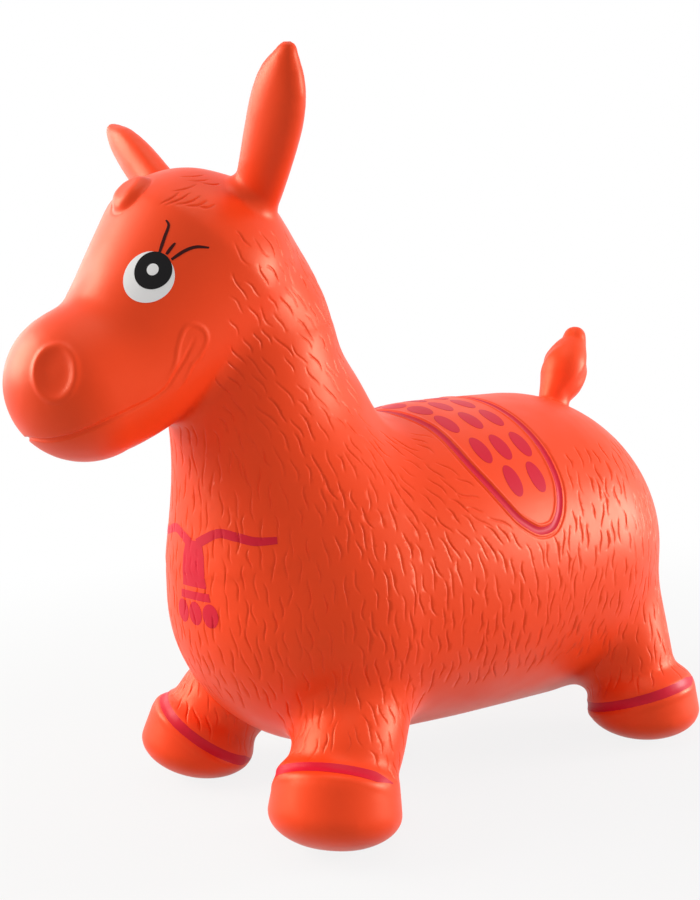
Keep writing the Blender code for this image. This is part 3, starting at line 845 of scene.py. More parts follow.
        fillets, limbs = (skin.vertex_groups.new(name=name) for name in ("fillets", "limbs"))
        strength = self.bridge_strength
        for vertex in skin.data.vertices:
            away = [surface.away(vertex.co) for surface in surfaces]
            own = min(range(len(forms)), key=away.__getitem__)
            others = [index for index in range(len(forms)) if index != own]
            near = max(1 - away[index] / forms[max(own, index)].fillet for index in others)
            bridge = strength - strength * (vertex.co - self.bridge).length / self.bridge_softness
            weight = min(max(near, bridge, 0.0), 1.0)
            fillets.add([vertex.index], weight, "REPLACE")
            limbs.add([vertex.index], 1 - weight, "REPLACE")
        self.smooth(skin, self.even_passes)
        self.lay_on(skin, shapes, limbs.name)
        self.smooth(skin, self.fillet_passes, fillets.name)
        finer = skin.modifiers.new("finer", "SUBSURF")
        finer.levels = finer.render_levels = 1
        self.lay_on(skin, shapes, limbs.name)
        self.smooth(skin, self.even_passes)
        self.lay_on(skin, shapes, limbs.name)
        self.smooth(skin, self.last_passes)
        applied(skin)
        bpy.data.objects.remove(shapes)
        skin.vertex_groups.clear()
        points = points_of(skin)
        points[:, 2] = np.maximum(points[:, 2], 0)
        move_points(skin, points)
        return skin

    @staticmethod
    def smooth(skin: Object, passes: int, group: str = "") -> None:
        """Adds a smoothing of the skin, over all of it or over one group.

        Args:
            skin: the skin.
            passes: how often it is smoothed.
            group: the group's name, or nothing for all of it.
        """
        modifier = skin.modifiers.new("smooth", "SMOOTH")
        modifier.iterations = passes
        modifier.vertex_group = group

    @staticmethod
    def lay_on(skin: Object, shapes: Object, group: str) -> None:
        """Adds a wrap that lays a group of the skin onto other shapes.

        Args:
            skin: the skin.
            shapes: what it is laid on.
            group: the group's name.
        """
        modifier = skin.modifiers.new("onto the forms", "SHRINKWRAP")
        modifier.target = shapes
        modifier.vertex_group = group

    def tail_creases(self, surface: Surface) -> list[Crease]:
        """The valleys between the twisted strands of the tail, from above its root to below its tip.

        Args:
            surface: the skin.

        Returns:
            A valley for each strand.
        """
        rows = smooth_curve(self.tail_sections, 12)[12:-8]
        result = []
        for strand in range(self.tail_strands):
            first = 2 * math.pi * strand / self.tail_strands + self.tail_twist_start
            turn = np.linspace(0, self.tail_twist, len(rows)) + first
            line = np.stack([rows[:, 0], 0 * turn, rows[:, 1]], axis=1)
            line += rows[:, 2:3] * np.stack([np.cos(turn), np.sin(turn), 0 * turn], axis=1)
            shares = np.sin(np.linspace(0.15, math.pi, len(rows))) ** 0.7
            line = even_curve(surface.laid(line), LINE_STEP)
            result.append(Crease(line, *self.tail_valley, shares, fine=False))
        return result

    def dip(self) -> Dimple:
        """The soft dip of the back just behind the neck."""
        place, outward = Vector((-0.003, 0, 0.264)), Vector((0.05, 0, 1)).normalized()
        return Dimple(place, outward, width=0.13, height=0.075, depth=0.0030)

    def limbs(self) -> list[Limb]:
        """Where the ears, the tail and the legs are split off, and what they bend with.

        Returns:
            The ears, the tail and the legs.
        """
        result = []
        for side in Side:
            root, tip = side.mirror(self.ear_root), side.mirror(self.ear_tip)
            ear, along = f"ear_{side.word}", (tip - root).normalized()
            nodes = (f"ear_root_{side.word}", ear)
            result.append(Limb(f"ear_skin_{side.word}", ear, nodes, root, along, *self.ear_bend))
        along = (self.tail_tip - self.tail_root).normalized()
        nodes = ("tail_root", "tail")
        result.append(Limb("tail_skin", "tail", nodes, self.tail_root, along, *self.tail_bend))
        for leg in self.legs():
            nodes = (f"leg_{leg.name}", f"hoof_{leg.name}")
            start = leg.root + leg.outward * (leg.bend_start - leg.root.dot(leg.outward))
            bend = (0.0, leg.bend_end - leg.bend_start, self.leg_within)
            result.append(Limb(f"leg_skin_{leg.name}", leg.body, nodes, start, leg.outward, *bend))
        return result

    def split(self, skin: Object) -> list[Object]:
        """Splits the finished skin into pieces, with no seam to see; the trunk's pieces ride on the bladder's
        body, the limbs' pieces on none.

        Args:
            skin: the whole skin.

        Returns:
            The pieces.
        """
        faces = skin.data.attributes.new("rest_normal", "FLOAT_VECTOR", "POINT")
        faces.data.foreach_set("vector", normals_of(skin).astype(np.float32).ravel())
        pieces = []
        for limb in self.limbs():
            piece = self.parted(skin, limb.holds(rows_of(skin.data.polygons, "center")), limb.piece)
            limb.bend(piece)
            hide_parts(*limb.nodes)
            pieces.append(piece)
        for name, nodes, test in self.trunk_cuts():
            piece = self.parted(skin, test(rows_of(skin.data.polygons, "center")), name)
            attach(piece, ROOT_BODY)
            if nodes:
                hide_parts(*nodes)
            pieces.append(piece)
        skin.name = "barrel_skin_rear_right"
        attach(skin, ROOT_BODY)
        pieces.append(skin)
        for piece in pieces:
            normals = rows_of(piece.data.attributes["rest_normal"].data, "vector")
            piece.data.attributes.remove(piece.data.attributes["rest_normal"])
            piece.data.shade_smooth()
            piece.data.normals_split_custom_set_from_vertices([tuple(row) for row in normals])
        return pieces

    @staticmethod
    def trunk_cuts() -> list[tuple[str, tuple[str, ...], Callable[[Points], Points]]]:
        """The trunk's pieces, in the order they are split off, with the nodes that each stands for.

        Returns:
            Each piece's name, its nodes and the test that picks its faces by their middles.
        """
        head_plane, head_point = np.array((0.799, 0, 0.602)), np.array((0.1087, 0, 0.3304))
        neck_plane, neck_point = np.array((0.407, 0, 0.914)), np.array((0.0813, 0, 0.227))
        middle = -0.055
        return [
            ("head_skin", ("head", "muzzle"), lambda rows: (rows - head_point) @ head_plane > 0),
            ("neck_skin", ("neck",), lambda rows: (rows - neck_point) @ neck_plane > 0),
            ("barrel_skin_front_left", ("barrel",), lambda rows: (rows[:, 0] > middle) & (rows[:, 1] > 0)),
            ("barrel_skin_front_right", (), lambda rows: rows[:, 0] > middle),
            ("barrel_skin_rear_left", (), lambda rows: rows[:, 1] > 0),
        ]

    @staticmethod
    def parted(skin: Object, chosen: Points, name: str) -> Object:
        """Some faces of the skin as a piece of their own.

        Args:
            skin: the skin, which loses the faces.
            chosen: a true or false for each face.
            name: the piece's name.

        Returns:
            The piece.
        """
        edit_faces(skin, chosen, bpy.ops.mesh.separate, type="SELECTED")
        piece = next(obj for obj in bpy.context.selected_objects if obj is not skin)
        piece.name = name
        return piece


@dataclass
class Coat:
    """The hair strokes that are pressed into the furred parts."""

    saddle: "Saddle"
    legs: list[Leg]
    seed: int = 7
    across: float = 0.0058
    along: float = 0.0180
    shortest: float = 0.0115
    longest: float = 0.0205
    bow: float = 0.0014
    sway: float = 0.0005
    half_width: float = 0.00078
    depth: float = 0.00070
    bow_range: Pair = (0.4, 1.3)
    depth_range: Pair = (0.65, 1.2)
    turn_spread: float = 0.10
    end_angle: float = 0.08
    fullness: float = 0.55
    steps: int = 13
    face_edge: Pair = (0.143, 0.262)
    crown_height: float = 0.380
    rump_edge: Pair = (-0.085, 0.226)
    withers_edge: tuple[float, float, float] = (0.045, 0.060, 0.2)
    belly_slope: float = -0.55
    hoof_reach: float = 0.075
    hoof_margin: float = 0.009
    neck_lean: float = 0.85
    neck_fade: Pair = (0.215, 0.07)
    shoulder_lean: float = 0.50
    shoulder_fade: Pair = (0.13, 0.06)
    chest_fade: Pair = (0.07, -0.05)
    flank_lean: float = 0.10
    rump_lean: float = -0.18
    rump_fade: Pair = (-0.045, -0.04)
    curl_lean: float = 3.0
    curl_place: tuple[float, float, float] = (-0.019, 0.104, 0.205)
    curl_reach: float = 0.015

    def furred(self, points: Points, normals: Points) -> Points:
        """Which places carry strokes: not the face, ears, hooves, saddle, rump top or belly.

        Args:
            points: the places.
            normals: the way that the skin faces there.

        Returns:
            A true or false for each place.
        """
        x, y, z = points.T
        face = (x > self.face_edge[0]) & (z > self.face_edge[1])
        crown = z > self.crown_height
        rump_top = (x < self.rump_edge[0]) & (z > self.rump_edge[1])
        ahead, aside, above = self.withers_edge
        withers = (x < ahead) & (np.abs(y) < aside) & (z > above)
        below = normals[:, 2] < self.belly_slope
        bare = face | crown | rump_top | withers | below | self.saddle.holds(points)
        for leg in self.legs:
            offset = points - np.array(leg.band)
            near = np.linalg.norm(offset, axis=1) < self.hoof_reach
            bare |= near & (offset @ np.array(leg.down) > -self.hoof_margin)
        return ~bare

    def flow(self, points: Points, normals: Points) -> Points:
        """The way that the hair lies: down, and swept back on the neck, the shoulder and the rump.

        Args:
            points: the places.
            normals: the way that the skin faces there.

        Returns:
            The way along the skin at each place, of length one.
        """
        x, y, z = points.T
        neck = self.neck_lean * risen(z, self.neck_fade)
        shoulder = self.shoulder_lean * risen(z, self.shoulder_fade) * risen(x, self.chest_fade)
        lean = np.maximum(np.maximum(neck, shoulder), self.flank_lean)
        lean -= (lean - self.rump_lean) * risen(x, self.rump_fade)
        offset = np.stack([x, np.abs(y), z], axis=1) - np.array(self.curl_place)
        curl = np.linalg.norm(offset, axis=1) / self.curl_reach
        lean += self.curl_lean * np.exp(-curl * curl)
        way = np.stack([-lean, 0 * x, -np.ones(len(x))], axis=1)
        return unit(way - normals * (way * normals).sum(axis=1, keepdims=True))

    def strokes(self, skin: Object, surface: Surface) -> list[Crease]:
        """The strokes, set out by chance but never too near each other.

        Args:
            skin: the skin, before anything is pressed into it.
            surface: the same skin, to lay the strokes on.

        Returns:
            The strokes as creases.
        """
        points, normals = points_of(skin), normals_of(skin)
        chance = random.Random(self.seed)
        order = np.nonzero(self.furred(points, normals))[0].tolist()
        chance.shuffle(order)
        flow = self.flow(points, normals)
        taken: dict[tuple[int, ...], list[int]] = {}
        result = []
        for index in order:
            if self.crowded(index, points, flow, taken):
                continue
            taken.setdefault(self.cell(points[index]), []).append(index)
            result.append(self.stroke(points[index], flow[index], normals[index], surface, chance))
        return result

    def cell(self, point: Points) -> tuple[int, ...]:
        """The cell of a coarse grid that a point lies in."""
        return tuple(np.floor(point / self.along).astype(int).tolist())

    def crowded(self, index: int, points: Points, flow: Points, taken: dict) -> bool:
        """Whether a stroke already lies too near a place.

        Args:
            index: the place's row.
            points: all the places.
            flow: the way that the hair lies at each.
            taken: the rows that have strokes, by grid cell.

        Returns:
            True where one lies inside an oval drawn out along the hair.
        """
        point, way = points[index], flow[index]
        home = self.cell(point)
        for shift in np.ndindex(3, 3, 3):
            for other in taken.get(tuple(a + b - 1 for a, b in zip(home, shift)), ()):
                offset = points[other] - point
                ahead = offset @ way
                aside = math.sqrt(max(offset @ offset - ahead * ahead, 0))
                if (ahead / self.along) ** 2 + (aside / self.across) ** 2 < 1:
                    return True
        return False

    def stroke(
        self, point: Points, way: Points, normal: Points, surface: Surface, chance: random.Random
    ) -> Crease:
        """One stroke: a short bowed line that is deepest in its middle.

        Args:
            point: the middle of the stroke.
            way: the way that the hair lies there.
            normal: the way that the skin faces there.
            surface: the skin to lay the stroke on.
            chance: gives its length, bow and turn.

        Returns:
            The stroke as a crease.
        """
        length = chance.uniform(self.shortest, self.longest)
        bow = self.bow * chance.choice((-1, 1, 1)) * chance.uniform(*self.bow_range)
        sway = self.sway * chance.choice((-1, 1))
        turn = chance.gauss(0, self.turn_spread)
        aside = np.cross(normal, way)
        ahead = way * math.cos(turn) + aside * math.sin(turn)
        share = np.linspace(-0.5, 0.5, self.steps)[:, None]
        bent = bow * np.cos(share * math.pi) + sway * np.sin(share * 2 * math.pi)
        line = point + ahead * share * length + aside * bent
        depth = self.depth * chance.uniform(*self.depth_range)
        shares = np.sin(np.linspace(self.end_angle, math.pi - self.end_angle, self.steps)) ** self.fullness
        return Crease(surface.laid(line), self.half_width, depth, shares)


@dataclass
class Saddle:
    """The saddle moulded on the back: a step round it, a painted band in a groove, and painted dots."""

    axis_height: float = 0.1495
    roundness: float = 0.1195
    edge: tuple[Pair, ...] = (
        (-0.0080, 0.0),
        (-0.0085, 20.0),
        (-0.0096, 33.2),
        (-0.0119, 47.5),
        (-0.0197, 59.0),
        (-0.0316, 69.8),
        (-0.0420, 74.9),
        (-0.0550, 78.2),
        (-0.0702, 77.6),
        (-0.0814, 73.3),
        (-0.0895, 66.9),
        (-0.0945, 59.8),
        (-0.0975, 49.0),
        (-0.0985, 36.0),
        (-0.0985, 18.0),
        (-0.0980, 0.0),
    )
    band_inset: float = 0.0062
    step_inset: float = 0.0016
    band_half_width: float = 0.0028
    ridge_inset: float = 0.0102
    step_press: Pair = (0.0013, 0.0008)
    groove_press: Pair = (0.0038, 0.0009)
    ridge_press: Pair = (0.0014, -0.0006)
    dot_rows: tuple[tuple[float, tuple[float, ...]], ...] = (
        (0.0, (-0.0285, -0.0490, -0.0715)),
        (14.0, (-0.0290, -0.0490, -0.0715)),
        (27.8, (-0.0300, -0.0530, -0.0740)),
        (43.3, (-0.0365, -0.0555, -0.0755)),
        (57.0, (-0.0478, -0.0703)),
    )
    dot_width: float = 0.0128
    dot_length: float = 0.0250
    dot_faces: int = 20

    def flat(self, points: Points) -> Points:
        """Places on the back as a flat map: x, and the way round the barrel from the spine."""
        turn = np.arctan2(points[:, 1], points[:, 2] - self.axis_height)
        return np.stack([points[:, 0], turn * self.roundness], axis=1)

    def outline(self, inset: float) -> Points:
        """The saddle's edge on the flat map, moved inwards.

        Args:
            inset: how far inwards.

        Returns:
            The points of the closed edge.
        """
        half = np.array([(x, math.radians(turn) * self.roundness) for x, turn in self.edge])
        keys = np.vstack([half, half[-2:0:-1] * (1, -1)])
        curve = even_curve(smooth_curve(keys, 10, closed=True), LINE_STEP)
        way = unit(np.roll(curve, -2, axis=0) - np.roll(curve, 2, axis=0))
        return curve + np.stack([-way[:, 1], way[:, 0]], axis=1) * inset

    def on_skin(self, flat: Points, surface: Surface) -> Points:
        """Places of the flat map, on the skin."""
        turns = flat[:, 1] / self.roundness
        return np.array([self.hit(x, turn, surface) for x, turn in zip(flat[:, 0], turns)])

    def hit(self, x: float, turn: float, surface: Surface) -> Vector:
        """The place on the skin that lies some way along the barrel and some way round it from the spine."""
        return surface.hit(Vector((x, 0, self.axis_height)), self.outward(turn))

    @staticmethod
    def outward(turn: float) -> Vector:
        """The way out of the barrel, some way round it from the spine."""
        return Vector((0, math.sin(turn), math.cos(turn)))

    def holds(self, points: Points, margin: float = 0.0075) -> Points:
        """Which points lie on the saddle or just beside it.

        Args:
            points: the points.
            margin: how far beside the saddle still counts.

        Returns:
            A true or false for each point.
        """
        flat, edge = self.flat(points), self.outline(-margin)
        inside = np.zeros(len(points), bool)
        for (x0, y0), (x1, y1) in zip(edge, np.roll(edge, -1, axis=0)):
            crosses = (y0 > flat[:, 1]) != (y1 > flat[:, 1])
            at = x0 + (flat[:, 1] - y0) * (x1 - x0) / ((y1 - y0) or 1e-12)
            inside ^= crosses & (flat[:, 0] < at)
        return inside & (points[:, 2] > self.axis_height)

    def creases(self, surface: Surface) -> list[Crease]:
        """The step round the saddle, the groove of its band and the ridge inside it.

        Args:
            surface: the skin.

        Returns:
            The three lines.
        """
        marks = (
            (self.step_inset, self.step_press, True),
            (self.band_inset, self.groove_press, False),
            (self.ridge_inset, self.ridge_press, True),
        )
        result = []
        for inset, press, fine in marks:
            line = self.on_skin(self.outline(inset), surface)
            result.append(Crease(line, *press, fine=fine))
        return result

    def paint(self, brush: "Brush") -> None:
        """Paints the band and the dots.

        Args:
            brush: lays the paint.
        """
        line = self.on_skin(self.outline(self.band_inset), brush.surface)
        band = brush.ribbon("saddle_band", line, self.band_half_width, closed=True)
        brush.finish(band, Slot.CRIMSON, "saddle_rim")
        dots = []
        for turn, places in self.dot_rows:
            for x in places:
                for side in Side if turn else (Side.LEFT,):
                    dots.append(self.dot(brush, x, math.radians(turn) * side.value))
        brush.finish(joined(dots, "saddle_dots"), Slot.CRIMSON)

    def dot(self, brush: "Brush", x: float, turn: float) -> Object:
        """One oval dot, longest across the back.

        Args:
            brush: lays the paint.
            x: how far along the barrel it is.
            turn: how far round from the spine.

        Returns:
            The film as a grid.
        """
        place = self.hit(x, turn, brush.surface)
        across = Vector((0, math.cos(turn), -math.sin(turn)))
        halves = self.dot_length / 2, self.dot_width / 2
        return brush.oval("dot", place, self.outward(turn), across, *halves, self.dot_faces)


@dataclass
class Brush:
    """Lays paint on the skin: thin films that follow every stroke and fold."""

    surface: Surface
    finished: Object
    paints: dict[Slot, bpy.types.Material]
    lift: float = 0.00008
    thickness: float = 0.00008
    rim: float = math.radians(40)
    throw: float = 0.03
    weld: float = 0.00002

    def thrown(self, points: Points, outward: Vector) -> Points:
        """Points thrown onto the skin against the way that it faces."""
        return self.surface.hits(points + np.array(outward) * self.throw, -outward)

    def sheet(self, name: str, along: int, across: int, place: Callable[[Points, Points], Points]) -> Object:
        """A grid of faces laid near the skin.

        Args:
            name: the film's name.
            along: how many faces it has one way.
            across: how many it has the other way.
            place: gives the points for two shares that run from -1 to 1.

        Returns:
            The grid, facing outwards.
        """
        bpy.ops.object.select_all(action="DESELECT")
        bpy.ops.mesh.primitive_grid_add(x_subdivisions=along, y_subdivisions=across, size=2)
        obj = bpy.context.object
        obj.name = name
        flat = points_of(obj)
        places = self.surface.laid(place(flat[:, 0], flat[:, 1]))
        move_points(obj, places)
        if (normals_of(obj) * self.surface.normals(places)).sum() < 0:
            edit_all(obj, bpy.ops.mesh.flip_normals)
        return obj

    def oval(
        self, name: str, centre: Vector, outward: Vector, across: Vector, wide: float, high: float, count: int
    ) -> Object:
        """An oval film, thrown onto the skin along one way.

        Args:
            name: the film's name.
            centre: the middle of the oval.
            outward: the way that it faces.
            across: the way that it is wide.
            wide: half its width.
            high: half its height.
            count: how many faces it has each way.

        Returns:
            The film as a grid.
        """
        side = np.array((across - outward * across.dot(outward)).normalized())
        up = np.cross(np.array(outward), side)

        def place(u: Points, v: Points) -> Points:
            """The oval's points, drawn from a square.

            Args:
                u: shares of its width.
                v: shares of its height.

            Returns:
                The points, on the skin.
            """
            x, y = u * np.sqrt(1 - v * v / 2), v * np.sqrt(1 - u * u / 2)
            flat = np.array(centre) + side * (x * wide)[:, None] + up * (y * high)[:, None]
            return self.thrown(flat, outward)

        return self.sheet(name, count, count, place)

    def ribbon(
        self, name: str, line: Points, half_width: float | Points, closed: bool = False, step: float = 0.0009
    ) -> Object:
        """A film along a line.

        Args:
            name: the film's name.
            line: the points of its middle.
            half_width: half its width, the same all along or at even steps.
            closed: whether its ends meet.
            step: how long its faces are.

        Returns:
            The film as a grid.
        """
        middle = even_curve(line, step)
        normal = self.surface.normals(middle)
        way = np.gradient(middle, axis=0)
        if closed:
            way[0] = way[-1] = middle[1] - middle[-2]
        aside = unit(np.cross(normal, way))
        widths = np.atleast_1d(half_width)
        width = np.interp(np.linspace(0, 1, len(middle)), np.linspace(0, 1, len(widths)), widths)
        half = aside * width[:, None]
        places = np.linspace(-1, 1, len(middle))

        def place(u: Points, v: Points) -> Points:
            """The ribbon's points, at each share of its length and width.

            Args:
                u: shares of its length.
                v: shares of its width.

            Returns:
                The points, near the skin.
            """
            centre = np.stack([np.interp(u, places, column) for column in middle.T], axis=1)
            offset = np.stack([np.interp(u, places, column) for column in half.T], axis=1)
            return centre + offset * v[:, None]

        rows = max(int(2 * width.max() / step), 3)
        obj = self.sheet(name, len(middle) - 1, rows, place)
        if closed:
            edit_all(obj, bpy.ops.mesh.remove_doubles, threshold=self.weld)
        return obj

    def finish(
        self, obj: Object, slot: Slot, *nodes: str, limb: Limb | None = None, lift: float = 0.0
    ) -> Object:
        """Wraps a film onto the skin, gives it thickness and paint, and ties it to the bladder's body where
        it lies on the trunk.

        Args:
            obj: the film.
            slot: its paint.
            nodes: the CAD nodes that it stands for.
            limb: the limb that it lies on, where it isn't on the trunk; such a film is only baked in place.
            lift: how much higher than other films it lies.

        Returns:
            The film as a finished piece.
        """
        wrap = obj.modifiers.new("wrap", "SHRINKWRAP")
        wrap.target = self.finished
        wrap.wrap_mode = "ABOVE_SURFACE"
        wrap.offset = self.lift + lift
        solid = obj.modifiers.new("thickness", "SOLIDIFY")
        solid.thickness = self.thickness
        solid.offset = 1
        applied(obj)
        obj.data.shade_smooth()
        obj.data.set_sharp_from_angle(angle=self.rim)
        obj.data.materials.clear()
        obj.data.materials.append(self.paints[slot])
        if limb:
            limb.bend(obj)
        else:
            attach(obj, ROOT_BODY)
        if nodes:
            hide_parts(*nodes)
        return obj


@dataclass
class Face:
    """The nostrils, the smile, the crown's strokes, and the painted eyes with their lashes."""

    eye: Vector = field(default_factory=lambda: Vector((0.190, 0.0445, 0.3586)))
    eye_outward: Vector = field(default_factory=lambda: Vector((0.773, 0.631, -0.062)).normalized())
    white_radius: float = 0.0148
    pupil_radius: float = 0.0109
    pupil_shift: Pair = (0.0026, 0.0036)
    pupil_lift: float = 0.00012
    glint_radius: float = 0.0034
    glint_shift: Pair = (0.0025, 0.0041)
    glint_lift: float = 0.00024
    glint_faces: int = 20
    lashes: tuple[tuple[Pair, ...], ...] = (
        ((0.0061, 0.0140), (0.0086, 0.0225), (0.0106, 0.0292), (0.0088, 0.0325)),
        ((0.0100, 0.0124), (0.0131, 0.0166), (0.0150, 0.0187)),
        ((0.0130, 0.0092), (0.0200, 0.0136), (0.0266, 0.0156), (0.0335, 0.0147)),
    )
    lash_half_width: float = 0.0010
    lash_taper: tuple[float, ...] = (0.75, 1, 1, 0.95, 0.85, 0.5)
    lash_step: float = 0.0005
    lash_lift: float = 0.00004
    nostril: Vector = field(default_factory=lambda: Vector((0.2476, 0.0333, 0.3063)))
    nostril_outward: Vector = field(default_factory=lambda: Vector((0.683, 0.709, 0.177)).normalized())
    nostril_width: float = 0.025
    nostril_height: float = 0.033
    nostril_depth: float = 0.0029
    nostril_rim: Pair = (0.0040, -0.0008)
    forelock: Vector = field(default_factory=lambda: Vector((0.1798, 0.009, 0.4118)))
    forelock_outward: Vector = field(default_factory=lambda: Vector((0.63, 0.08, 0.77)).normalized())
    forelock_width: float = 0.028
    forelock_length: float = 0.034
    forelock_height: float = 0.0044
    forelock_rim: Pair = (0.0030, 0.0003)
    mouth_press: Pair = (0.0021, 0.0017)
    smile_press: Pair = (0.0024, -0.0005)
    crown_press: Pair = (0.0009, 0.00070)
    mouth: Sections = (
        (0.2526, 0.0000, 0.2680),
        (0.2484, 0.0139, 0.2672),
        (0.2393, 0.0290, 0.2692),
        (0.2232, 0.0409, 0.2761),
        (0.2079, 0.0440, 0.2820),
        (0.1949, 0.0445, 0.2869),
        (0.1853, 0.0458, 0.2928),
        (0.1811, 0.0475, 0.2990),
        (0.1760, 0.0497, 0.3070),
        (0.1717, 0.0521, 0.3150),
        (0.1678, 0.0548, 0.3242),
    )
    smile: Sections = (
        (0.1854, 0.0462, 0.2960),
        (0.1800, 0.0500, 0.3075),
        (0.1782, 0.0522, 0.3182),
        (0.1746, 0.0542, 0.3274),
        (0.1692, 0.0557, 0.3301),
        (0.1628, 0.0560, 0.3270),
        (0.1602, 0.0541, 0.3205),
        (0.1639, 0.0511, 0.3118),
        (0.1684, 0.0494, 0.3067),
        (0.1723, 0.0459, 0.2974),
        (0.1790, 0.0435, 0.2890),
    )
    crown: Sections = (
        (0.1706, 0.0405, 0.012),
        (0.1669, 0.0440, 0.015),
        (0.1625, 0.0482, 0.015),
        (0.1590, 0.0518, 0.013),
        (0.1545, 0.0549, 0.010),
        (0.1605, 0.0408, 0.015),
        (0.1499, 0.0391, 0.013),
        (0.1504, 0.0335, 0.015),
        (0.1440, 0.0440, 0.012),
    )

    def dimples(self) -> list[Dimple]:
        """The hollows of the nostrils, and the raised pad of the forelock with its dished face.

        Returns:
            The two nostrils, the pad and the pad's dish.
        """
        result = []
        for side in Side:
            place, outward = side.mirror(self.nostril), side.mirror(self.nostril_outward)
            result.append(Dimple(place, outward, self.nostril_width, self.nostril_height, self.nostril_depth))
        place, outward, height = self.forelock, self.forelock_outward, self.forelock_height
        width, length = self.forelock_width, self.forelock_length
        result.append(Dimple(place, outward, width, length, -height, softness=0.8))
        result.append(Dimple(place, outward, width * 0.6, length * 0.6, height * 0.12))
        return result

    def creases(self, surface: Surface) -> list[Crease]:
        """The mouth, the folds of the smile, the rims of the nostrils and the strokes on the crown.

        Args:
            surface: the skin.

        Returns:
            All the lines of the head.
        """
        half = np.array(self.mouth)
        whole = np.vstack([(half * (1, -1, 1))[:0:-1], half])
        line = even_curve(surface.laid(smooth_curve(whole, 8)), LINE_STEP)
        shares = np.interp(np.abs(np.linspace(-1, 1, 41)), (0, 0.35, 0.6, 0.9, 1), (1, 0.8, 0.35, 0.4, 0))
        result = [Crease(line, *self.mouth_press, shares)]
        for side in Side:
            fold = smooth_curve(np.array(self.smile) * (1, side.value, 1), 8)
            ends = np.interp(np.linspace(0, 1, 21), (0, 0.15, 0.85, 1), (0, 1, 1, 0))
            result.append(Crease(even_curve(surface.laid(fold), LINE_STEP), *self.smile_press, ends))
        *nostrils, pad, _ = self.dimples()
        for nostril in nostrils:
            rim = even_curve(surface.laid(nostril.outline(0.98)), LINE_STEP)
            result.append(Crease(rim, *self.nostril_rim, fine=False))
        rim = even_curve(surface.laid(pad.outline(0.96)), LINE_STEP)
        result.append(Crease(rim, *self.forelock_rim))
        for x, y, length in self.crown:
            for side in Side:
                result.append(self.crown_stroke(surface, x, y * side.value, length))
        return result

    def crown_stroke(self, surface: Surface, x: float, y: float, length: float) -> Crease:
        """A bowed stroke on top of the head, combed back and out from the middle.

        Args:
            surface: the skin.
            x: how far forward its middle is.
            y: how far aside its middle is.
            length: how long it is.

        Returns:
            The stroke as a crease.
        """
        share = np.linspace(-0.5, 0.5, 13)
        ahead = x + share * length * 0.95
        aside = y + np.sign(y) * length * (0.10 * np.cos(share * math.pi) - 0.25 * share)
        line = surface.hits(np.stack([ahead, aside, 0 * share + 0.5], axis=1), -UP)
        shares = np.sin(np.linspace(0.1, math.pi - 0.1, 13)) ** 0.6
        return Crease(line, *self.crown_press, shares)

    def paint(self, brush: Brush, lash_paint: bpy.types.Material) -> None:
        """Paints both eyes.

        Args:
            brush: lays the paint.
            lash_paint: the thinner paint of the lashes.
        """
        for side in Side:
            white = self.spot(brush, f"eye_white_{side.word}_paint", side, (0, 0), self.white_radius)
            brush.finish(white, Slot.WHITE, f"eye_white_{side.word}")
            pupil = self.spot(brush, f"pupil_{side.word}_paint", side, self.pupil_shift, self.pupil_radius)
            brush.finish(pupil, Slot.BLACK, f"pupil_{side.word}", lift=self.pupil_lift)
            glint = self.spot(
                brush, f"glint_{side.word}", side, self.glint_shift, self.glint_radius, self.glint_faces
            )
            brush.finish(glint, Slot.WHITE, lift=self.glint_lift)
            widths = np.array(self.lash_taper) * self.lash_half_width
            lines = [self.lash_line(brush, side, keys) for keys in self.lashes]
            films = [brush.ribbon("lash", line, widths, step=self.lash_step) for line in lines]
            lashes = brush.finish(joined(films, f"lashes_{side.word}"), Slot.BLACK, lift=self.lash_lift)
            lashes.data.materials[0] = lash_paint

    def place(self, side: Side, shift: Pair) -> Vector:
        """A place near the eye, by how far back and up it is from the middle of the white.

        Args:
            side: the side that the eye is on.
            shift: how far back and up.

        Returns:
            The place, on the flat of the eye.
        """
        back = UP.cross(self.eye_outward).normalized()
        up = self.eye_outward.cross(back)
        return side.mirror(self.eye + back * shift[0] + up * shift[1])

    def spot(
        self, brush: Brush, name: str, side: Side, shift: Pair, radius: float, count: int = 44
    ) -> Object:
        """A round spot of the eye.

        Args:
            brush: lays the paint.
            name: the film's name.
            side: the side that the eye is on.
            shift: how far back and up its middle is.
            radius: its radius.
            count: how many faces it has each way.

        Returns:
            The film as a grid.
        """
        outward = side.mirror(self.eye_outward)
        across = UP.cross(outward)
        return brush.oval(name, self.place(side, shift), outward, across, radius, radius, count)

    def lash_line(self, brush: Brush, side: Side, keys: tuple[Pair, ...]) -> Points:
        """The line of a lash on the skin.

        Args:
            brush: knows the skin.
            side: the side that the eye is on.
            keys: how far back and up its points are.

        Returns:
            The line's points.
        """
        outward = side.mirror(self.eye_outward)
        flat = smooth_curve([self.place(side, key) for key in keys], 10)
        return brush.thrown(flat, outward)


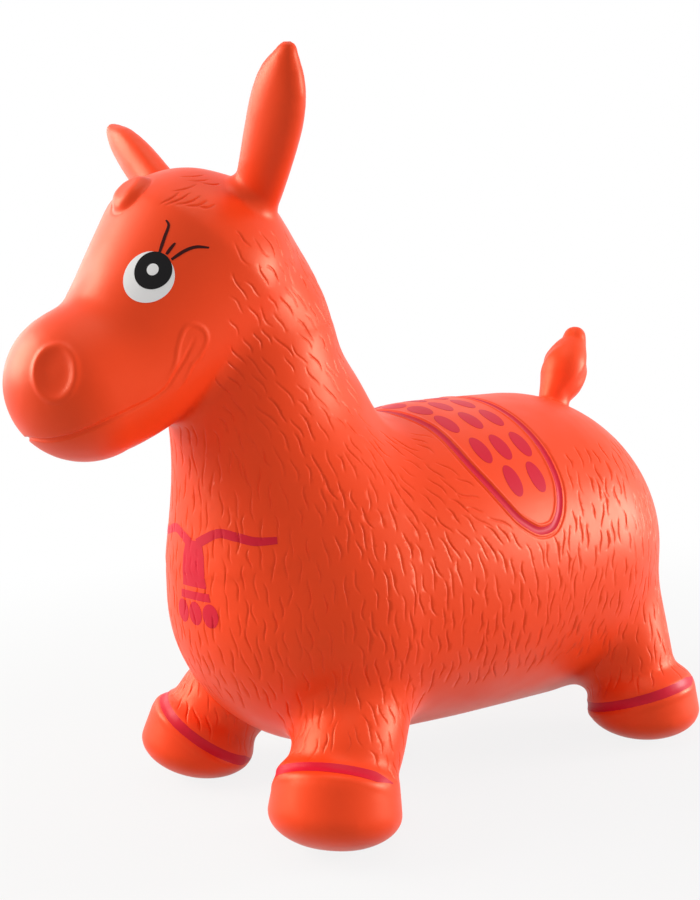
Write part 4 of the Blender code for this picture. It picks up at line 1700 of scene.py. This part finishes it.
@dataclass
class Tassel:
    """A plain tassel on two swags, painted on the chest."""

    aside: float = 0.010
    swag: tuple[Pair, ...] = (
        (0.004, 0.1915),
        (0.012, 0.1955),
        (0.023, 0.1995),
        (0.035, 0.1975),
        (0.046, 0.1950),
        (0.057, 0.1955),
    )
    swag_widths: tuple[float, ...] = (0.0036, 0.0031, 0.0029, 0.0029, 0.0027, 0.0022)
    skirt: Pair = (0.1935, 0.1635)
    skirt_widths: tuple[float, ...] = (0.0085, 0.0115, 0.0124, 0.0130)
    collar: Pair = (0.1605, 0.1550)
    collar_widths: tuple[float, ...] = (0.0155, 0.0165)
    fringe: tuple[float, ...] = (-0.0150, 0.0, 0.0150)
    fringe_height: float = 0.1460
    fringe_half: Pair = (0.0070, 0.0078)
    fringe_faces: int = 26
    panel_points: int = 20
    ahead: float = 0.5

    def paint(self, brush: Brush) -> None:
        """Paints the whole tassel.

        Args:
            brush: lays the paint.
        """
        parts = []
        for side in Side:
            line = smooth_curve([(y * side.value, z) for y, z in self.swag], 12)
            parts.append(brush.ribbon("swag", self.on_chest(brush, line), np.array(self.swag_widths)))
        for ends, widths in ((self.skirt, self.skirt_widths), (self.collar, self.collar_widths)):
            heights = np.linspace(*ends, self.panel_points)
            line = np.stack([np.zeros(self.panel_points), heights], axis=1)
            parts.append(brush.ribbon("panel", self.on_chest(brush, line), np.array(widths)))
        for y in self.fringe:
            place = Vector(self.on_chest(brush, np.array([[y, self.fringe_height]]))[0])
            shape = (*self.fringe_half, self.fringe_faces)
            parts.append(brush.oval("lobe", place, Vector((1, 0, 0)), SIDEWAYS, *shape))
        brush.finish(joined(parts, "chest_tassel"), Slot.CRIMSON)

    def on_chest(self, brush: Brush, flat: Points) -> Points:
        """Places on the front of the chest, by how far aside of the tassel and how high they are."""
        starts = np.column_stack([np.full(len(flat), self.ahead), flat[:, 0] + self.aside, flat[:, 1]])
        return brush.surface.hits(starts, Vector((-1, 0, 0)))


@dataclass
class HoofBands:
    """The painted bands above the hooves."""

    legs: list[Leg]
    limbs: list[Limb]
    least_share: float = 0.05
    fullness: float = 1.6
    thinnest: float = 0.12

    def paint(self, brush: Brush) -> None:
        """Paints the four bands, each thinning out at the back of its hoof.

        Args:
            brush: lays the paint.
        """
        for leg in self.legs:
            ring = leg.ring(brush.surface, 0.0)
            fade = leg.front_share(len(ring))
            kept = fade > self.least_share
            widths = leg.band_half_width * np.clip(fade[kept] * self.fullness, self.thinnest, 1)
            film = brush.ribbon(f"hoof_band_{leg.name}_paint", ring[kept], widths)
            limb = next(limb for limb in self.limbs if limb.body == leg.body)
            brush.finish(film, Slot.CRIMSON, f"hoof_band_{leg.name}", limb=limb)


@dataclass
class NodeGroup:
    """A shader node group that several materials share."""

    name: str
    tree: bpy.types.NodeTree = field(init=False)
    inside: bpy.types.Node = field(init=False)
    outside: bpy.types.Node = field(init=False)
    spread: Pair = (0.3, 0.7)

    def __post_init__(self) -> None:
        """Starts an empty group."""
        self.tree = bpy.data.node_groups.new(self.name, "ShaderNodeTree")
        self.inside = self.tree.nodes.new("NodeGroupInput")
        self.outside = self.tree.nodes.new("NodeGroupOutput")

    def socket(self, name: str, way: str, kind: str = "NodeSocketFloat", value: float | None = None) -> None:
        """Adds a named input or output.

        Args:
            name: the socket's name.
            way: INPUT or OUTPUT.
            kind: its type.
            value: what an input has at first.
        """
        socket = self.tree.interface.new_socket(name, in_out=way, socket_type=kind)
        if value is not None:
            socket.default_value = value

    def link(self, source: bpy.types.NodeSocket, target: bpy.types.NodeSocket) -> None:
        """Joins two sockets."""
        self.tree.links.new(source, target)

    def noise(self, scale: float, detail: float) -> bpy.types.NodeSocket:
        """Noise over the piece's own place, from 0 to 1.

        Args:
            scale: how fine it is.
            detail: how many finer layers it has.

        Returns:
            The socket of the noise.
        """
        coordinates = self.tree.nodes.new("ShaderNodeTexCoord")
        noise = self.tree.nodes.new("ShaderNodeTexNoise")
        noise.inputs["Scale"].default_value = scale
        noise.inputs["Detail"].default_value = detail
        self.link(coordinates.outputs["Object"], noise.inputs["Vector"])
        return noise.outputs["Fac"]

    def ranged(self, value: bpy.types.NodeSocket, low: float, high: float) -> bpy.types.NodeSocket:
        """Noise stretched over a range.

        Args:
            value: the socket of the noise.
            low: the low end.
            high: the high end.

        Returns:
            The socket of the stretched noise.
        """
        node = self.tree.nodes.new("ShaderNodeMapRange")
        self.link(value, node.inputs["Value"])
        ends = {"From Min": self.spread[0], "From Max": self.spread[1], "To Min": low, "To Max": high}
        for name, end in ends.items():
            node.inputs[name].default_value = end
        return node.outputs["Result"]


class VinylLife(NodeGroup):
    """What keeps moulded vinyl from being one flat colour: clouding, uneven satin and a fine skin."""

    def __init__(self) -> None:
        """Builds the group."""
        super().__init__("vinyl life")
        self.socket("Satin", "INPUT", value=0.4)
        self.socket("Unevenness", "INPUT", value=0.05)
        self.socket("Clouding", "OUTPUT")
        self.socket("Roughness", "OUTPUT")
        self.socket("Skin", "OUTPUT")
        clouds = self.ranged(self.noise(9.0, 3.0), 0.0, 1.0)
        self.link(clouds, self.outside.inputs["Clouding"])
        patches = self.ranged(self.noise(38.0, 4.0), -1.0, 1.0)
        scaled = self.tree.nodes.new("ShaderNodeMath")
        scaled.operation = "MULTIPLY_ADD"
        self.link(patches, scaled.inputs[0])
        self.link(self.inside.outputs["Unevenness"], scaled.inputs[1])
        self.link(self.inside.outputs["Satin"], scaled.inputs[2])
        self.link(scaled.outputs["Value"], self.outside.inputs["Roughness"])
        self.link(self.noise(900.0, 2.0), self.outside.inputs["Skin"])


@dataclass(frozen=True)
class Finish:
    """A vinyl or paint finish: two near colours that cloud into each other, and a satin."""

    name: str
    colour: tuple[float, float, float]
    clouded: tuple[float, float, float]
    satin: float
    unevenness: float = 0.05
    skin: float = 0.0001
    bump: float = 0.35
    specular: float = 0.25
    tint: tuple[float, float, float] = (1.0, 1.0, 1.0)

    def material(self, life: VinylLife) -> bpy.types.Material:
        """The finish as a material.

        Args:
            life: the node group that clouds it.

        Returns:
            The material.
        """
        material = bpy.data.materials.new(self.name)
        material.use_nodes = True
        nodes, link = material.node_tree.nodes, material.node_tree.links.new
        shader = nodes["Principled BSDF"]
        group = nodes.new("ShaderNodeGroup")
        group.node_tree = life.tree
        group.inputs["Satin"].default_value = self.satin
        group.inputs["Unevenness"].default_value = self.unevenness
        mix = nodes.new("ShaderNodeMix")
        mix.data_type = "RGBA"
        mix.inputs["A"].default_value = (*self.colour, 1)
        mix.inputs["B"].default_value = (*self.clouded, 1)
        bump = nodes.new("ShaderNodeBump")
        bump.inputs["Strength"].default_value = self.bump
        bump.inputs["Distance"].default_value = self.skin
        link(group.outputs["Clouding"], mix.inputs["Factor"])
        link(mix.outputs["Result"], shader.inputs["Base Color"])
        link(group.outputs["Roughness"], shader.inputs["Roughness"])
        link(group.outputs["Skin"], bump.inputs["Height"])
        link(bump.outputs["Normal"], shader.inputs["Normal"])
        shader.inputs["Specular IOR Level"].default_value = self.specular
        shader.inputs["Specular Tint"].default_value = (*self.tint, 1)
        return material


WARM = (1.0, 0.80, 0.48)
FINISHES = {
    Slot.VINYL: Finish(
        "orange vinyl", (0.95, 0.055, 0.008), (0.90, 0.051, 0.0075), 0.42, specular=0.44, tint=WARM
    ),
    Slot.CRIMSON: Finish("crimson paint", (0.68, 0.009, 0.034), (0.62, 0.008, 0.029), 0.42, specular=0.2),
    Slot.WHITE: Finish("white paint", (0.92, 0.92, 0.92), (0.90, 0.90, 0.91), 0.32),
    Slot.BLACK: Finish("black paint", (0.010, 0.009, 0.010), (0.007, 0.006, 0.007), 0.34, specular=0.12),
    Slot.MILKY: Finish("milky vinyl", (0.84, 0.82, 0.77), (0.80, 0.78, 0.72), 0.42),
}
LASH_FINISH = Finish("thin lash paint", (0.050, 0.008, 0.008), (0.040, 0.006, 0.007), 0.42, specular=0.1)


@dataclass(frozen=True)
class Lamp:
    """A square soft box: where it stands, how wide it is, its power in watts and its colour."""

    name: str
    place: tuple[float, float, float]
    size: float
    power: float
    colour: tuple[float, float, float] = (1.0, 1.0, 1.0)

    def build(self, aim: Vector) -> None:
        """Adds the lamp, turned to face a place.

        Args:
            aim: the place.
        """
        data = bpy.data.lights.new(self.name, "AREA")
        data.energy, data.size, data.color = self.power, self.size, self.colour
        lamp = bpy.data.objects.new(self.name, data)
        lamp.location = self.place
        lamp.rotation_euler = (aim - Vector(self.place)).to_track_quat("-Z", "Y").to_euler()
        bpy.context.scene.collection.objects.link(lamp)


@dataclass
class Studio:
    """A white floor, soft lamps and a camera that stands where the photographer stood."""

    lens: float = 42.49
    camera_place: Vector = field(default_factory=lambda: Vector((0.48265, 0.61146, 0.30584)))
    heading: float = 37.4
    pitch: float = 5.0
    roll: float = -3.0767
    aim: Vector = field(default_factory=lambda: Vector((0, 0, 0.22)))
    sky: float = 0.53
    floor_grey: float = 0.45
    floor_near: float = 0.86
    floor_reach: Pair = (0.35, 1.0)
    floor_size: float = 40.0
    lamps: tuple[Lamp, ...] = (
        Lamp("key lamp", (1.20, -0.95, 0.95), 1.0, 30.0, (1.0, 0.95, 0.86)),
        Lamp("rim lamp", (0.35, -1.50, 0.75), 0.8, 5.0, (1.0, 0.95, 0.86)),
        Lamp("back lamp", (-1.30, 0.95, 0.42), 0.6, 21.0),
        Lamp("top lamp", (0.1, 0.3, 1.9), 1.0, 5.0),
    )

    def build(self) -> None:
        """Adds everything."""
        self.add_camera()
        self.add_floor()
        self.add_sky()
        for lamp in self.lamps:
            lamp.build(self.aim)
        bpy.context.scene.view_settings.view_transform = "Standard"

    def add_camera(self) -> None:
        """The camera, turned by heading, pitch and roll."""
        heading, pitch, roll = (math.radians(angle) for angle in (self.heading, self.pitch, self.roll))
        right = Vector((-math.cos(heading), math.sin(heading), 0))
        level = Vector((-math.sin(heading), -math.cos(heading), 0))
        forward = level * math.cos(pitch) - UP * math.sin(pitch)
        up = UP * math.cos(pitch) + level * math.sin(pitch)
        rolled = right * math.cos(roll) + up * math.sin(roll)
        up = up * math.cos(roll) - right * math.sin(roll)
        data = bpy.data.cameras.new("camera")
        data.lens = self.lens
        camera = bpy.data.objects.new("camera", data)
        turned = Matrix((rolled, up, -forward)).transposed().to_4x4()
        camera.matrix_world = Matrix.Translation(self.camera_place) @ turned
        bpy.context.scene.collection.objects.link(camera)
        bpy.context.scene.camera = camera

    def add_floor(self) -> None:
        """A wide white floor that keeps the shadow."""
        bpy.ops.object.select_all(action="DESELECT")
        bpy.ops.mesh.primitive_plane_add(size=self.floor_size)
        floor = bpy.context.object
        floor.name = "floor"
        material = bpy.data.materials.new("white floor")
        material.use_nodes = True
        tree = material.node_tree
        nodes, link = tree.nodes, tree.links.new
        shader = nodes["Principled BSDF"]
        shader.inputs["Base Color"].default_value = (self.floor_grey,) * 3 + (1,)
        shader.inputs["Roughness"].default_value = 0.9
        shader.inputs["Specular IOR Level"].default_value = 0.1
        glow, mix, share = (nodes.new(f"ShaderNode{kind}") for kind in ("Emission", "MixShader", "Math"))
        share.operation = "MULTIPLY"
        link(self.seen(tree, 1.0), share.inputs[0])
        link(self.paling(tree), share.inputs[1])
        link(share.outputs["Value"], mix.inputs["Fac"])
        link(shader.outputs["BSDF"], mix.inputs[1])
        link(glow.outputs["Emission"], mix.inputs[2])
        link(mix.outputs["Shader"], nodes["Material Output"].inputs["Surface"])
        floor.data.materials.append(material)

    def paling(self, tree: bpy.types.NodeTree) -> bpy.types.NodeSocket:
        """How far the floor pales into the backdrop: a share that rises with the way from its middle.

        Args:
            tree: the floor's nodes.

        Returns:
            The socket of the share.
        """
        place = tree.nodes.new("ShaderNodeTexCoord")
        length = tree.nodes.new("ShaderNodeVectorMath")
        length.operation = "LENGTH"
        paling = tree.nodes.new("ShaderNodeMapRange")
        paling.interpolation_type = "SMOOTHSTEP"
        paling.inputs["From Min"].default_value, paling.inputs["From Max"].default_value = self.floor_reach
        paling.inputs["To Min"].default_value = self.floor_near
        tree.links.new(place.outputs["Object"], length.inputs[0])
        tree.links.new(length.outputs["Value"], paling.inputs["Value"])
        return paling.outputs["Result"]

    @staticmethod
    def seen(tree: bpy.types.NodeTree, share: float) -> bpy.types.NodeSocket:
        """A share for rays that the camera sees, straight or in a gloss, and nothing for other light.

        Args:
            tree: the nodes to add to.
            share: the share for those rays.

        Returns:
            The socket of the share.
        """
        path = tree.nodes.new("ShaderNodeLightPath")
        value = path.outputs["Is Camera Ray"]
        for name in ("Is Glossy Ray", "Is Transmission Ray"):
            both = tree.nodes.new("ShaderNodeMath")
            both.operation = "MAXIMUM"
            tree.links.new(value, both.inputs[0])
            tree.links.new(path.outputs[name], both.inputs[1])
            value = both.outputs["Value"]
        scaled = tree.nodes.new("ShaderNodeMath")
        scaled.operation = "MULTIPLY"
        scaled.inputs[1].default_value = share
        tree.links.new(value, scaled.inputs[0])
        return scaled.outputs["Value"]

    def add_sky(self) -> None:
        """A soft even sky that the camera sees as white."""
        world = bpy.data.worlds.new("studio")
        world.use_nodes = True
        tree = world.node_tree
        background = tree.nodes["Background"]
        background.inputs["Color"].default_value = (1, 1, 1, 1)
        strength = tree.nodes.new("ShaderNodeMath")
        strength.operation = "ADD"
        strength.inputs[1].default_value = self.sky
        tree.links.new(self.seen(tree, 1 - self.sky), strength.inputs[0])
        tree.links.new(strength.outputs["Value"], background.inputs["Strength"])
        bpy.context.scene.world = world


def main() -> None:
    """Builds the horse and its studio."""
    logging.basicConfig(level=logging.INFO, format="%(name)s: %(message)s")
    life = VinylLife()
    paints = {slot: finish.material(life) for slot, finish in FINISHES.items()}
    bladder, face, saddle, tassel = Bladder(), Face(), Saddle(), Tassel()
    legs, limbs = bladder.legs(), bladder.limbs()

    skin = bladder.fused()
    surface = Surface(skin)
    coat = Coat(saddle, legs)
    relief = Relief()
    strokes = coat.strokes(skin, surface)
    log.info("%d strokes", len(strokes))
    relief.add(strokes)
    relief.add(face.creases(surface), face.dimples())
    relief.add(saddle.creases(surface))
    relief.add(bladder.tail_creases(surface), [bladder.dip()])
    for leg in legs:
        relief.add(leg.creases(surface))
    relief.refine(skin)
    relief.press(skin)
    log.info("skin of %d faces", len(skin.data.polygons))

    brush = Brush(Surface(skin), skin, paints)
    face.paint(brush, LASH_FINISH.material(life))
    saddle.paint(brush)
    tassel.paint(brush)
    HoofBands(legs, limbs).paint(brush)
    skin.data.materials.append(paints[Slot.VINYL])
    for piece in bladder.split(skin):
        log.info("%s of %d faces", piece.name, len(piece.data.polygons))
    for node in ("valve_collar", "valve_plug"):
        obj = bpy.data.objects[node]
        obj.data.materials.clear()
        obj.data.materials.append(paints[Slot.MILKY])

    Studio().build()


if __name__ == "__main__":
    main()
